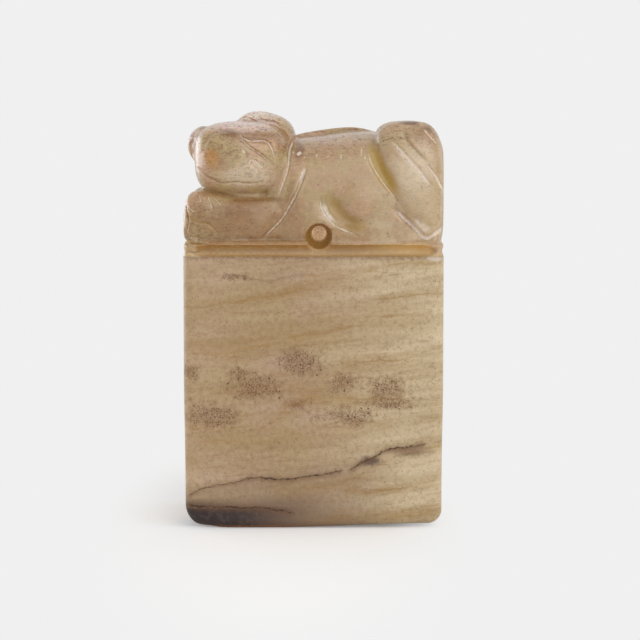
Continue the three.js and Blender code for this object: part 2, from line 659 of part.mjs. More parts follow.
function knob() {
  const masses = [
    trunk(),
    spine(),
    skull(),
    eye(),
    ...mane(),
    core(),
    ...SIDES.map(foreleg),
    ...SIDES.flatMap(hindquarter),
    ...tail(),
  ];
  const carved = join(masses).intersect(knobBlank()).add(foot());
  const lines = [...SIDES.flatMap(sideCuts), ...SIDES.flatMap(toeCuts), ...faceCuts()];
  return join([cut(carved, [...lines, ...flutes(), cordHole()]), ...balls()]);
}

const stone = new THREE.MeshStandardMaterial({
  name: "stone",
  color: 0xb09878,
  roughness: 0.35,
  metalness: 0,
});

const seal = new THREE.Group();
seal.name = "seal_stamp";
seal.add(piece("seal_block", cut(blockBlank(), [faceGround()]), stone));
seal.add(piece("beast_knob", knob(), stone));

export default seal;
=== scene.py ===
# %% [markdown]
# # A carved stone seal
# A seal stamp of this kind is one piece of translucent stone. Its lower part is a plain block
# whose base is the printing face, and its top is a beast lying down, carved as the handle.
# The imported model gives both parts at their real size. This lesson dresses them: it carves a
# finer beast in the same place, wears the block's edges, and makes a stone that light enters.

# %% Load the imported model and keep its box
import math

import bmesh
import bpy
import numpy as np
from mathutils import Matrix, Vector


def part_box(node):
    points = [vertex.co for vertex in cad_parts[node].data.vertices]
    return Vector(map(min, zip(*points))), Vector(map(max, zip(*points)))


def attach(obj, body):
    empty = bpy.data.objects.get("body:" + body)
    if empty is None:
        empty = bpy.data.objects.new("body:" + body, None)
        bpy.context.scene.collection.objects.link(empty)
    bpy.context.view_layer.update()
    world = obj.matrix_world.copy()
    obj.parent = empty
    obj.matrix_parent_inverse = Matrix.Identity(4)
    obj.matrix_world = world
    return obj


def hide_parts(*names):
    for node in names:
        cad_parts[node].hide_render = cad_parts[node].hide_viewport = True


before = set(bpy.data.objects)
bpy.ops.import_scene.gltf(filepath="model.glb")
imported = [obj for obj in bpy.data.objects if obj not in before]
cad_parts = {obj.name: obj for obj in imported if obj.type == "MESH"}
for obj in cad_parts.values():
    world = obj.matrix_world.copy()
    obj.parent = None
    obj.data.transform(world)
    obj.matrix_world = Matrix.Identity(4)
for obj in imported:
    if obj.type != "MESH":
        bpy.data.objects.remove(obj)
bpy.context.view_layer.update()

MM = 0.001  # the shapes below are worked out in millimetres, and Blender works in metres
# The carving starts at the ledge, which is the block's top edge.
HALF_X, HALF_Y, LEDGE = (np.array(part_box("seal_block")[1]) / MM).tolist()
KNOB_TOP = (np.array(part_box("beast_knob")[1]) / MM).tolist()[2]
print(f"block {2 * HALF_X:.1f} x {2 * HALF_Y:.1f} x {LEDGE:.1f} mm, knob up to {KNOB_TOP:.1f} mm")


def in_scene(name, data):
    """A new object that stands in the scene."""
    made = bpy.data.objects.new(name, data)
    bpy.context.scene.collection.objects.link(made)
    return made


# %% [markdown]
# ## Camera
# The photograph was taken with a long lens from a little above the block, square on to the
# long side that the beast looks over. A long lens keeps the block's sides almost parallel.

# %% Aim the camera
CAMERA_ELEVATION = math.radians(5)
CAMERA_DISTANCE = 368.0
LENS, SENSOR = 135.0, 36.0
AIM = np.array([1.0, -HALF_Y, 32.35])

camera_data = bpy.data.cameras.new("camera")
camera_data.lens = LENS
camera_data.sensor_width = SENSOR
camera_data.clip_start, camera_data.clip_end = 0.01, 20
camera = in_scene("camera", camera_data)
backwards = np.array([0, -math.cos(CAMERA_ELEVATION), math.sin(CAMERA_ELEVATION)])
camera.location = (AIM + CAMERA_DISTANCE * backwards) * MM
camera.rotation_euler = (math.pi / 2 - CAMERA_ELEVATION, 0, 0)
bpy.context.scene.camera = camera

# %% [markdown]
# ## Surfaces from formulas
# Every mass of the beast is a closed skin: rings of points, one after another, with a point at
# each end. Numpy works out all the points of a skin at once. A sculptor's limb is a section
# that swells and shrinks as it follows a curve, so one function makes nearly all of them.


# %% Rings of points to a closed mesh
def closed_skin(name, rings, ends):
    """A mesh through rings (rows x sides x 3) with an end point at each side of them."""
    rows, sides = rings.shape[:2]
    points = np.vstack([rings.reshape(-1, 3), ends]) * MM
    i, j = np.meshgrid(np.arange(rows - 1), np.arange(sides), indexing="ij")
    k = (j + 1) % sides
    quads = np.stack([i * sides + j, i * sides + k, (i + 1) * sides + k, (i + 1) * sides + j], -1)
    j = np.arange(sides)
    k = (j + 1) % sides
    first, last, base = rows * sides, rows * sides + 1, (rows - 1) * sides
    near = np.stack([np.full(sides, first), k, j], -1)
    far = np.stack([np.full(sides, last), base + j, base + k], -1)
    faces = quads.reshape(-1, 4).tolist() + near.tolist() + far.tolist()
    mesh = bpy.data.meshes.new(name)
    mesh.from_pydata(points.tolist(), [], faces)
    shell = bmesh.new()
    shell.from_mesh(mesh)
    bmesh.ops.recalc_face_normals(shell, faces=shell.faces)
    shell.to_mesh(mesh)
    shell.free()
    return in_scene(name, mesh)


# %% A smooth curve through points
def smooth_curve(points, share):
    """Catmull-Rom: between p1 and p2 a point is half of 2 p1 + (p2 - p0) t + (2 p0 - 5 p1 +
    4 p2 - p3) t^2 + (3 p1 - p0 - 3 p2 + p3) t^3. share runs from 0 to 1 over the whole curve."""
    p = np.asarray(points, float)
    p = p[:, None] if p.ndim == 1 else p
    p = np.vstack([2 * p[0] - p[1], p, 2 * p[-1] - p[-2]])
    place = np.asarray(share, float) * (len(p) - 3)
    i = np.clip(place.astype(int), 0, len(p) - 4)
    t = (place - i)[:, None]
    p0, p1, p2, p3 = p[i], p[i + 1], p[i + 2], p[i + 3]
    bent = (2 * p0 - 5 * p1 + 4 * p2 - p3) * t**2 + (3 * p1 - p0 - 3 * p2 + p3) * t**3
    return 0.5 * (2 * p1 + (p2 - p0) * t + bent)


def even_curve(points, share):
    """The same curve read at shares of its length instead of shares of its points."""
    fine = np.linspace(0, 1, 400)
    track = smooth_curve(points, fine)
    steps = np.linalg.norm(np.diff(track, axis=0), axis=1)
    length = np.concatenate([[0], np.cumsum(steps)])
    return smooth_curve(points, np.interp(np.asarray(share) * length[-1], length, fine))


# %% Sections, round ends and limbs
def unit(vectors):
    return vectors / np.maximum(np.linalg.norm(vectors, axis=-1, keepdims=True), 1e-12)


def superellipse(angle, half_a, half_b, power):
    """The point at a polar angle of |a / half_a|^power + |b / half_b|^power = 1."""
    c, s = np.cos(angle), np.sin(angle)
    reach = (np.abs(c / half_a) ** power + np.abs(s / half_b) ** power) ** (-1 / power)
    return c * reach, s * reach


def closing(place, power):
    """How wide a form still is at a place from -1 to 1 along it: (1 - |place|^power)^(1/power)."""
    return np.maximum(1 - np.abs(place) ** power, 0) ** (1 / power)


def crowded(rows):
    """Places from -1 to 1 that crowd towards both ends, where a rounded end turns fastest."""
    return -np.cos(np.pi * np.arange(1, rows) / rows)


def limb(
    name, points, widths, thicknesses,
    power=2.3, blunt=2.6, taper=None, flat=(0, 1, 0), rows=40, sides=36,
):
    """Superellipse sections along a smooth curve, closed round at both ends. A section's
    thickness lies along the flat direction, and its width across that and the curve. The
    form closes over its whole length by the blunt power, or only over a taper's length."""
    place = crowded(rows)
    share = (1 + place) / 2
    centre = even_curve(points, share)
    ahead, behind = np.minimum(share + 0.01, 1), np.maximum(share - 0.01, 0)
    tangent = unit(even_curve(points, ahead) - even_curve(points, behind))
    thick = unit(np.array(flat) - (tangent @ np.array(flat))[:, None] * tangent)
    across = np.cross(tangent, thick)
    if taper:
        reach = np.linalg.norm(np.subtract(points[-1], points[0])) / (2 * taper)
        close = closing(np.clip(1 - (1 - np.abs(place)) * reach, 0, 1), 2)[:, None] / 2
    else:
        close = closing(place, blunt)[:, None] / 2
    half_width, half_thick = smooth_curve(widths, share) * close, smooth_curve(thicknesses, share) * close
    angle = 2 * np.pi * np.arange(sides) / sides
    a, b = superellipse(angle[None], half_width, half_thick, power)
    rings = centre[:, None] + a[..., None] * across[:, None] + b[..., None] * thick[:, None]
    return closed_skin(name, rings, even_curve(points, [0, 1]))


# %% [markdown]
# ## Places on the stone
# A carver measures from the faces of the block, and so do these curves: how far in from the
# end under the head or under the tail, how far in from a long face, and how far above the
# block's top edge.

# %% From the block's faces to points
HEAD, TAIL = -1, 1  # the block's end under the head, and the one under the tail
FRONT, BEHIND = -1, 1  # the long face that the beast looks over, and the other one


def placed(end, side, points):
    """Points given by their insets from an end and from a long face, and their rise."""
    inset_x, inset_y, rise = np.asarray(points, float).T
    return np.stack([end * (HALF_X - inset_x), side * (HALF_Y - inset_y), LEDGE + rise], -1)


# %% Rounded upright blocks
def outline(straight=60, corner=14):
    """Once round a rounded rectangle: where each point's corner centre lies, from -1 to 1 of
    the straight stretch along x and y, and the direction in which it faces."""
    x = np.r_[np.ones(corner), np.linspace(1, -1, straight + 2)[1:-1]]
    y = np.ones(corner + straight)
    angle = np.r_[np.linspace(0, np.pi / 2, corner), np.full(straight, np.pi / 2)]
    quarters = []
    for quarter in range(4):
        quarters.append((x, y, angle + quarter * np.pi / 2))
        x, y = -y, x
    x, y, angle = np.concatenate(quarters, axis=1)
    return x, y, np.cos(angle), np.sin(angle)


def rounded_rings(half_x, half_y, radii, heights, insets, directions):
    """Rounded rectangles stacked up, each standing in by its inset, with its corners' radius."""
    cx, cy, nx, ny = directions
    x = cx * np.maximum(half_x - insets - radii, 0) + radii * nx
    y = cy * np.maximum(half_y - insets - radii, 0) + radii * ny
    return np.stack([x, y, np.broadcast_to(heights, x.shape)], -1)


def rounded_block(name, half_x, half_y, radius, bottom, top, rounding):
    """A block with upright rounded corners and its upper edge turned over by a quarter circle."""
    angle = np.linspace(0, np.pi / 2, 10)
    heights = np.r_[bottom, top - rounding * (1 - np.sin(angle))][:, None]
    insets = np.r_[0, rounding * (1 - np.cos(angle))][:, None]
    radii = np.maximum(radius - insets, radius / 5)
    rings = rounded_rings(half_x, half_y, radii, heights, insets, outline())
    return closed_skin(name, rings, [[0, 0, bottom], [0, 0, top]])


# %% [markdown]
# ## The block
# The block is ground flat on its sides, so its shape is in its edges: sharp at the ledge, soft
# down the corners, and rubbed round at the base, most of all under the head, where it is set
# down first. One skin makes it all, from the middle of the printing face outwards, round the
# bottom edge, up the sides and in over the top. The printing face is cut with a square fret,
# an ordinary border figure, inside a plain raised line, and carries no lettering.

# %% The printing face as a height
BORDER, RELIEF = 1.5, 0.9  # the raised border's width, and how deep the ground lies
LINE, GAP = 0.9, 1.1  # widths of the fret's lines and of the ground between them
COLUMNS, ROWS = 4, 3
WORN_RADIUS, TAIL_RADIUS, BASE_RADIUS = 3.7, 2.2, 1.3  # bottom edges at the ends and the sides
FACE_LOW = np.array([-HALF_X + WORN_RADIUS + BORDER, -HALF_Y + BASE_RADIUS + BORDER])
FACE_HIGH = np.array([HALF_X - TAIL_RADIUS - BORDER, HALF_Y - BASE_RADIUS - BORDER])


def smooth_step(low, high, value):
    """0 below low, 1 above high, and 3 t^2 - 2 t^3 between them."""
    t = np.clip((value - low) / (high - low), 0, 1)
    return t * t * (3 - 2 * t)


def box_distance(x, y, centre, half):
    """Distance outside a rectangle, or less than 0 inside it: the larger of |x| - a, |y| - b."""
    return np.maximum(np.abs(x - centre[0]) - half[0], np.abs(y - centre[1]) - half[1])


def fret_distance(x, y):
    """Distance to the nearest raised line: each cell holds one line wound into a spiral."""
    cell = (FACE_HIGH - FACE_LOW - GAP) / (COLUMNS, ROWS)
    place = (np.stack([x, y], -1) - FACE_LOW - GAP / 2) / cell
    index = np.clip(np.floor(place), 0, (COLUMNS - 1, ROWS - 1))
    turn = np.where((index.sum(-1) % 2) == 1, -1, 1)[..., None]
    u, v = np.moveaxis((place - index - 0.5) * cell * turn, -1, 0)
    a, b = (cell - GAP - LINE) / 2
    step = LINE + GAP
    corners = [(-a, -b), (-a, b), (a, b), (a, -b), (step - a, -b), (step - a, b - step), (a - step, b - step)]
    bars = []
    for (x0, y0), (x1, y1) in zip(corners, corners[1:]):
        middle = ((x0 + x1) / 2, (y0 + y1) / 2)
        half = (abs(x1 - x0) / 2 + LINE / 2, abs(y1 - y0) / 2 + LINE / 2)
        bars.append(box_distance(u, v, middle, half))
    return np.min(bars, axis=0)


def face_height(x, y):
    """The ground is RELIEF deep inside the border, wherever no line of the fret stands."""
    inside = -box_distance(x, y, (FACE_LOW + FACE_HIGH) / 2, (FACE_HIGH - FACE_LOW) / 2)
    return RELIEF * smooth_step(-0.08, 0.08, np.minimum(inside, fret_distance(x, y)))


# %% The block's skin
CORNER_RADIUS, ARRIS_RADIUS = 1.5, 0.1  # upright edges, and the edge at the ledge
SUNK = 0.4  # the carved piece's lower edge is hidden this deep in the block
FACE_RINGS, EDGE_RINGS, WALL_RINGS, ARRIS_RINGS, TOP_RINGS = 84, 14, 70, 6, 12
MIDDLE = 0.1  # the rings stop this far from the middle line, where one point closes them
NARROWING = 0.009  # the share of its width that the block loses on the way down
FRONT_LIFT, LIFT_INSET, LIFT_HEIGHT = 0.9, 4, 20  # how the front right corner stands off the floor


def seal_block():
    """Rings from the middle of the base to its edge, round it, up the sides and in again.
    The bottom edge is rubbed rounder at the ends than at the long sides, most at the head
    end. The block narrows a little towards its base, and its front right corner is lifted."""
    directions = outline(118, 12)
    cx = directions[0]
    worn = BASE_RADIUS + 0 * directions[2]
    for end, radius in ((HEAD, WORN_RADIUS), (TAIL, TAIL_RADIUS)):
        worn = worn + (radius - BASE_RADIUS) * smooth_step(0.7, 1.0, end * cx)
    turn = np.linspace(0, np.pi / 2, EDGE_RINGS)[:, None]
    spread = np.linspace(HALF_Y - MIDDLE, 0, FACE_RINGS)[:-1, None] * (1 - worn / HALF_Y) + worn
    walls = np.linspace(WORN_RADIUS, LEDGE - ARRIS_RADIUS, WALL_RINGS)[1:, None]
    fold = np.linspace(0, np.pi / 2, ARRIS_RINGS)[1:, None]
    inwards = np.linspace(ARRIS_RADIUS, HALF_Y - MIDDLE, TOP_RINGS)[1:, None]
    stretches = [
        (spread, 0),
        (worn * (1 - np.sin(turn)), worn * (1 - np.cos(turn))),
        (0, walls),
        (ARRIS_RADIUS * (1 - np.cos(fold)), LEDGE - ARRIS_RADIUS * (1 - np.sin(fold))),
        (inwards, LEDGE),
    ]
    full = [np.stack(np.broadcast_arrays(*pair, worn)[:2]) for pair in stretches]
    insets, heights = np.concatenate(full, axis=1)
    radii = np.maximum(CORNER_RADIUS - insets, 0.05)
    rings = rounded_rings(HALF_X, HALF_Y, radii, heights, insets, directions)
    rings[..., 0] *= 1 - NARROWING * smooth_step(24, 6, heights)
    x, y, z = np.moveaxis(rings, -1, 0)
    face = np.arange(len(insets)) < len(spread)
    z[face] += face_height(x[face], y[face])
    front = np.clip((-y - LIFT_INSET) / (HALF_Y - LIFT_INSET), 0, 1) ** 2
    z += FRONT_LIFT * smooth_step(-8, 20, x) * front * np.clip(1 - z / LIFT_HEIGHT, 0, 1)
    return closed_skin("seal_block_worn", rings, [[0, 0, 0], [0, 0, LEDGE]])


block = seal_block()
print(f"block: {len(block.data.polygons)} faces")

# %% [markdown]
# ## The beast's masses
# The beast is built as a sculptor blocks one in: trunk, head, legs and tail as separate
# swelling masses that run into each other. They are fused into one skin further down.

# %% Trunk, spine, core and foot
FLANK_INSET, BACK_RISE = 0.75, 19.1
BACK_DIPS = np.array([1.7, 1.2, 0.7, 0.1, 0.1, 0.6, 1.2])  # under that rise, from head to tail
FLANK_DIPS = np.array([0.5, 0, 0, 0.1, 0.2, 0.4, 0.8])  # in from that inset
HEAD_WIDTH, HEAD_DEPTH, HEAD_HEIGHT = 15.0, 17.2, 12.0
HEAD_RISE, HEAD_INSET = 8.7, 1.5
HEAD_TOP = HEAD_RISE + HEAD_HEIGHT
FOOT_HEIGHT = 2.4


def trunk(rows=60, sides=96):
    """Upright superellipse sections along X. Their tops follow the line of the back, and
    their flanks are still upright where they meet the foot."""
    place = crowded(rows)
    share = (1 + place) / 2
    start, end = -HALF_X + HEAD_INSET + 0.7 * HEAD_WIDTH, HALF_X - 1
    top = smooth_curve(BACK_RISE - BACK_DIPS, share)
    half_y = smooth_curve(HALF_Y - FLANK_INSET - FLANK_DIPS, share)
    bottom = -FOOT_HEIGHT
    close = closing(place, 7)[:, None]
    angle = 2 * np.pi * (np.arange(sides) + 0.5) / sides
    y, z = superellipse(angle[None], half_y * close, (top - bottom) / 2 * close, 3.2)
    x = np.broadcast_to((start + (end - start) * share)[:, None], y.shape)
    rings = np.stack([x, y, LEDGE + (top + bottom) / 2 + z], -1)
    middle = LEDGE + (BACK_RISE + bottom) / 2
    return closed_skin("trunk", rings, [[start, 0, middle], [end, 0, middle]])


ridge = [[16, HALF_Y, 17.7], [20, HALF_Y, 18.2], [26, HALF_Y, 18.8], [31, HALF_Y, 18.1]]
masses = [
    trunk(),
    limb("spine", placed(HEAD, FRONT, ridge), [2, 2], [1.8, 1.8]),
    rounded_block("core", HALF_X - 3.2, HALF_Y - 4.3, 1.5, LEDGE, LEDGE + HEAD_RISE + 1.2, 2),
    rounded_block("foot", HALF_X, HALF_Y, CORNER_RADIUS, LEDGE - SUNK, LEDGE + FOOT_HEIGHT, 0.8),
]

# %% Head
HEAD_CENTRE = np.array([
    -HALF_X + HEAD_INSET + HEAD_WIDTH / 2,
    -HALF_Y + HEAD_DEPTH / 2 + 0.15,
    LEDGE + HEAD_RISE + HEAD_HEIGHT / 2,
])
SQUARENESS = 3.0


def skull(rows=60, sides=120):
    """Level superellipses stacked up into a rounded box, which narrows a little to the jaw."""
    level = crowded(rows)
    close = closing(level, SQUARENESS)[:, None] * (1 + 0.03 * level[:, None])
    angle = 2 * np.pi * np.arange(sides) / sides
    x, y = superellipse(angle[None], HEAD_WIDTH / 2 * close, HEAD_DEPTH / 2 * close, SQUARENESS)
    z = np.broadcast_to((HEAD_HEIGHT / 2 * level)[:, None], x.shape)
    rings = np.stack([x, y, z], -1) + HEAD_CENTRE
    ends = HEAD_CENTRE + np.array([[0, 0, -HEAD_HEIGHT / 2], [0, 0, HEAD_HEIGHT / 2]])
    return closed_skin("skull", rings, ends)


masses.append(skull())

# %% Ears and mane
far_ear = [[3.0, 9.4, HEAD_TOP - 6.6], [2.5, 9.0, HEAD_TOP - 3.4], [4.2, 9.2, HEAD_TOP - 1.3]]
near_ear = [
    [7.9, 10.6, HEAD_TOP - 0.6],
    [10.6, 10.4, HEAD_TOP + 0.1],
    [13.4, 9.8, HEAD_TOP - 0.5],
    [15.3, 9.0, HEAD_TOP - 1.7],
    [15.9, 8.6, HEAD_TOP - 4.4],
    [15.7, 8.2, HEAD_TOP - 7.6],
]
masses += [
    limb("far_ear", placed(HEAD, FRONT, far_ear), [3.2, 4.2, 3.6], [5, 6, 4]),
    limb("near_ear", placed(HEAD, FRONT, near_ear), [2.6, 3.2, 3.4, 3.4, 2.8, 2.2], [5, 6, 8, 9, 9, 7]),
]
nape = [[2.7, 16.6, 13.5], [12.0, 16.6, 13.5], [22.5, 16.6, 13.5]]
masses.append(limb("nape", placed(HEAD, FRONT, nape), [9.6, 9.6], [5.5, 5.5], 3, 6))
LOCKS, LOCK_MARGIN = 4, 1.8
for i in range(LOCKS):
    x = HEAD_INSET + LOCK_MARGIN + (HEAD_WIDTH - 2 * LOCK_MARGIN) * (i + 0.5) / LOCKS
    lock = [[x, 15.6, HEAD_TOP - 1.0], [x + 0.4, 18.5, HEAD_TOP - 2.9], [x + 1.5, 19.0, HEAD_TOP - 8.4]]
    masses.append(limb("lock", placed(HEAD, FRONT, lock), [3, 4, 3.2], [3.7, 3.7, 3.0], flat=(1, 0, 0)))


# %% Legs, haunches and tail
for side in (FRONT, BEHIND):
    foreleg = [[17.5, 6.25, 5.6], [12, 4.65, 5.6], [6, 4.45, 5.5], [0, 4.45, 6.3]]
    haunch = [[5.5, 6.7, 20.3], [5.3, 5.5, 15.2], [3.5, 5.5, 8.5], [1.7, 5.5, 0.8]]
    thigh = [[10.0, 4.05, 13.4], [12.6, 3.45, 9], [15.4, 3.45, 4.6]]
    shin = [[2.2, 3.5, 1.6], [8, 3.5, 2.4], [14, 3.45, 3.0], [19.6, 3.5, 2.6]]
    lock = [[7.6, 11.2, 18.4], [4.6, 8.2, 18.6], [2.0, 5.8, 15.2]]
    masses += [
        limb(
            "foreleg", placed(HEAD, side, foreleg), [8.6, 7.8, 8.4, 9.2], [7.6, 8.6, 8.1, 8.6],
            power=2.8, blunt=5,
        ),
        limb(
            "haunch", placed(TAIL, side, haunch), [10.6, 10.9, 7.4, 3.8], [9.8, 10.8, 10.8, 10.8],
            power=2.8, blunt=4.0,
        ),
        limb("thigh", placed(TAIL, side, thigh), [7.0, 9.6, 6.6], [6.4, 6.4, 6.4], power=2.1, blunt=2.1),
        limb("shin", placed(TAIL, side, shin), [6.0, 7.6, 6.8, 4.6], [6.4, 6.4], power=2.1, blunt=3),
        limb("tail_lock", placed(TAIL, side, lock), [3, 3.6, 2.4], [3.2, 4, 2.6]),
    ]
climb = [[2.2, HALF_Y, 1.8], [1.8, HALF_Y, 8], [2.6, HALF_Y, 14], [6.6, HALF_Y, 18.2]]
masses.append(limb("tail", placed(TAIL, FRONT, climb), [3.2, 3.6, 4.2, 4.6], [3.6, 4.6, 5.6, 6.6]))
print(f"{len(masses)} masses")

# %% [markdown]
# ## One skin
# The masses overlap, and the real beast is one surface with soft creases where they meet.
# Joining them into one mesh and remeshing it with small cubes fuses them and drops what is
# inside, as a sculptor's program does. Bodies of stone that the drill and the round file took
# away are then subtracted, and a second, finer remesh rounds their edges as handling does.

# %% Joining, cutting and remeshing
def finished(piece):
    """The piece with its modifiers turned into mesh."""
    evaluated = piece.evaluated_get(bpy.context.evaluated_depsgraph_get())
    mesh = bpy.data.meshes.new_from_object(evaluated)
    piece.modifiers.clear()
    piece.data = mesh
    return piece


def joined(name, pieces):
    """Several pieces as the loose shells of one mesh."""
    whole = bmesh.new()
    for piece in pieces:
        whole.from_mesh(piece.data)
        bpy.data.objects.remove(piece)
    mesh = bpy.data.meshes.new(name)
    whole.to_mesh(mesh)
    whole.free()
    return in_scene(name, mesh)


def remeshed(piece, voxel):
    """The piece's outer skin again, made of squares from cubes of this side in millimetres."""
    modifier = piece.modifiers.new("remesh", "REMESH")
    modifier.mode = "VOXEL"
    modifier.voxel_size = voxel * MM
    return finished(piece)


def combined(piece, other, operation):
    """The piece with another one added to it, taken from it or kept within it."""
    modifier = piece.modifiers.new(operation.lower(), "BOOLEAN")
    modifier.operation = operation
    modifier.solver = "MANIFOLD"
    modifier.object = other
    finished(piece)
    bpy.data.objects.remove(other)
    return piece


# %% What the drill and the round file took away
FLUTE_RADIUS, FLUTE_RISE, FLUTE_STOP, FLUTE_TAPER = 0.92, 0.93, 0.7, 3.5
HOLE_X, HOLE_RISE, HOLE_CLIMB = 0.85, 2.8, 3.0  # the mouths' place, and how the bore climbs
HOLE_MOUTH, HOLE_WAIST, OVERCUT = 1.95, 1.1, 0.5  # radii, and how far the cutter stands out


def cord_hole(rows=60, sides=64):
    """Circles along Y whose radius grows from the waist to the mouth with smooth_step near the
    mouths, while they fall evenly from where the two drillings met to the mouths."""
    place = crowded(rows)
    flare = smooth_step(0.76, 0.87, np.abs(place))
    radius = (HOLE_WAIST + (HOLE_MOUTH - HOLE_WAIST) * flare)[:, None]
    climb = (HOLE_CLIMB * (1 - np.abs(place)))[:, None]
    angle = 2 * np.pi * np.arange(sides) / sides
    y = (place * (HALF_Y + OVERCUT))[:, None] + 0 * angle
    x = HOLE_X + radius * np.cos(angle)
    z = LEDGE + HOLE_RISE + climb + radius * np.sin(angle)
    ends = [[HOLE_X, side * (HALF_Y + OVERCUT), LEDGE + HOLE_RISE] for side in (-1, 1)]
    return closed_skin("hole", np.stack([x, y, z], -1), ends)


def flute(points):
    """A round groove that runs out at both ends."""
    wide = [2 * FLUTE_RADIUS] * 2
    return limb("flute", points, wide, wide, 2, 2, FLUTE_TAPER, (0, 0, 1), 80, 40)


cutters = [cord_hole()]
for side in (FRONT, BEHIND):
    course = [[inset, 0, FLUTE_RISE] for inset in (FLUTE_STOP, HALF_X, 2 * HALF_X - FLUTE_STOP)]
    cutters.append(flute(placed(HEAD, side, course)))
for end in (HEAD, TAIL):
    course = [[0, inset, FLUTE_RISE] for inset in (FLUTE_STOP, HALF_Y, 2 * HALF_Y - FLUTE_STOP)]
    cutters.append(flute(placed(end, FRONT, course)))


# %% Fuse, trim to the block's outline, and cut
COARSE, FINE = 0.26, 0.17  # sides of the remeshes' cubes
UNCUT_CORNER, UNCUT_TOP = 2.3, 3.4  # how round the stone was before it was carved
# The ball under each forepaw: its size, its insets and the rises between which it stands.
BALL_SIZE, BALL_INSET_X, BALL_INSET_Y, BALL_RISES = 2.7, 1.45, 1.35, (0.1, 2.8)
feet = masses.pop(3)
beast = remeshed(joined("beast_knob_carved", masses), COARSE)
uncut = rounded_block("uncut", HALF_X, HALF_Y, UNCUT_CORNER, LEDGE - SUNK, KNOB_TOP + 1.0, UNCUT_TOP)
beast = combined(beast, uncut, "INTERSECT")
beast = combined(beast, feet, "UNION")
for cutter in cutters:
    beast = combined(beast, cutter, "DIFFERENCE")
for side in (FRONT, BEHIND):
    axis = placed(HEAD, side, [[BALL_INSET_X, BALL_INSET_Y, rise] for rise in BALL_RISES])
    ball = limb("ball", axis, [BALL_SIZE] * 2, [BALL_SIZE] * 2, power=2, blunt=2)
    beast = combined(beast, ball, "UNION")
beast = remeshed(beast, FINE)
print(f"{len(beast.data.vertices)} points in the fused beast")

# %% [markdown]
# ## Carved lines
# On the real seal the masses are parted by channels, and the face, the toes and the hair are
# lines cut with a fine wheel. Each line is drawn here as a smooth curve on a long side of the
# stone, in millimetres across the block and above its top edge, and every point of the skin
# sinks by how near it is to the curve. Points that face away from that side don't move.

# %% The skin as arrays
def skin_arrays(piece):
    """Places in millimetres and outward normals of all points of a mesh."""
    count = len(piece.data.vertices)
    places, normals = np.empty(count * 3, np.float32), np.empty(count * 3, np.float32)
    piece.data.vertices.foreach_get("co", places)
    piece.data.vertices.foreach_get("normal", normals)
    return places.reshape(-1, 3).astype(float) / MM, normals.reshape(-1, 3).astype(float)


def evened(piece, values, rounds, strength=0.5):
    """Each round moves every point's value towards the mean of its neighbours' values."""
    ends = np.empty(len(piece.data.edges) * 2, np.int64)
    piece.data.edges.foreach_get("vertices", ends)
    ends = ends.reshape(-1, 2)
    order = np.argsort(np.r_[ends[:, 0], ends[:, 1]], kind="stable")
    here, there = np.r_[ends[:, 0], ends[:, 1]][order], np.r_[ends[:, 1], ends[:, 0]][order]
    starts = np.searchsorted(here, np.arange(len(values)))
    count = np.bincount(here, minlength=len(values))[:, None]
    for _ in range(rounds):
        mean = np.add.reduceat(values[there], starts) / count
        values = values + strength * (mean - values)
    return values


def put_back(piece, places):
    piece.data.vertices.foreach_set("co", (places * MM).astype(np.float32).ravel())
    piece.data.update()


CREASE_ROUNDS = 6  # how often the fused skin is evened out
put_back(beast, evened(beast, skin_arrays(beast)[0], CREASE_ROUNDS))
places, normals = skin_arrays(beast)


# %% Nearness to a drawn line
def line_weight(points, width, x, z, sharp):
    """How strongly a line acts at each place: (1 - (d / half width)^2)^2, or 1 - d / half
    width for a sharp line, fading towards the line's ends."""
    track = smooth_curve(points, np.linspace(0, 1, 12 * (len(points) - 1) + 1))
    weight = np.zeros(len(x))
    near = (x > track[:, 0].min() - width) & (x < track[:, 0].max() + width)
    near &= (z > track[:, 1].min() - width) & (z < track[:, 1].max() + width)
    if not near.any():
        return weight
    at = np.stack([x[near], z[near]], -1)
    start, step = track[:-1], np.diff(track, axis=0)
    along = np.clip(((at[:, None] - start) * step).sum(-1) / (step**2).sum(-1), 0, 1)
    gap = np.linalg.norm(at[:, None] - start - along[..., None] * step, axis=-1)
    nearest = gap.argmin(1)
    rows = np.arange(len(at))
    d = gap[rows, nearest] / (width / 2)
    share = (nearest + along[rows, nearest]) / len(step)
    ends = np.minimum(share, 1 - share)
    shape = np.clip(1 - d, 0, 1) if sharp else np.clip(1 - d**2, 0, 1) ** 2
    weight[near] = shape * (np.sqrt(np.clip(6 * ends, 0, 1)) if sharp else smooth_step(0, 0.35, ends))
    return weight


def facing(side, places, normals, reach):
    """1 where the skin faces the long side and lies no deeper behind it than the reach."""
    near = smooth_step(reach, reach - 1.5, HALF_Y - side * places[:, 1])
    return smooth_step(0.05, 0.5, side * normals[:, 1]) * near
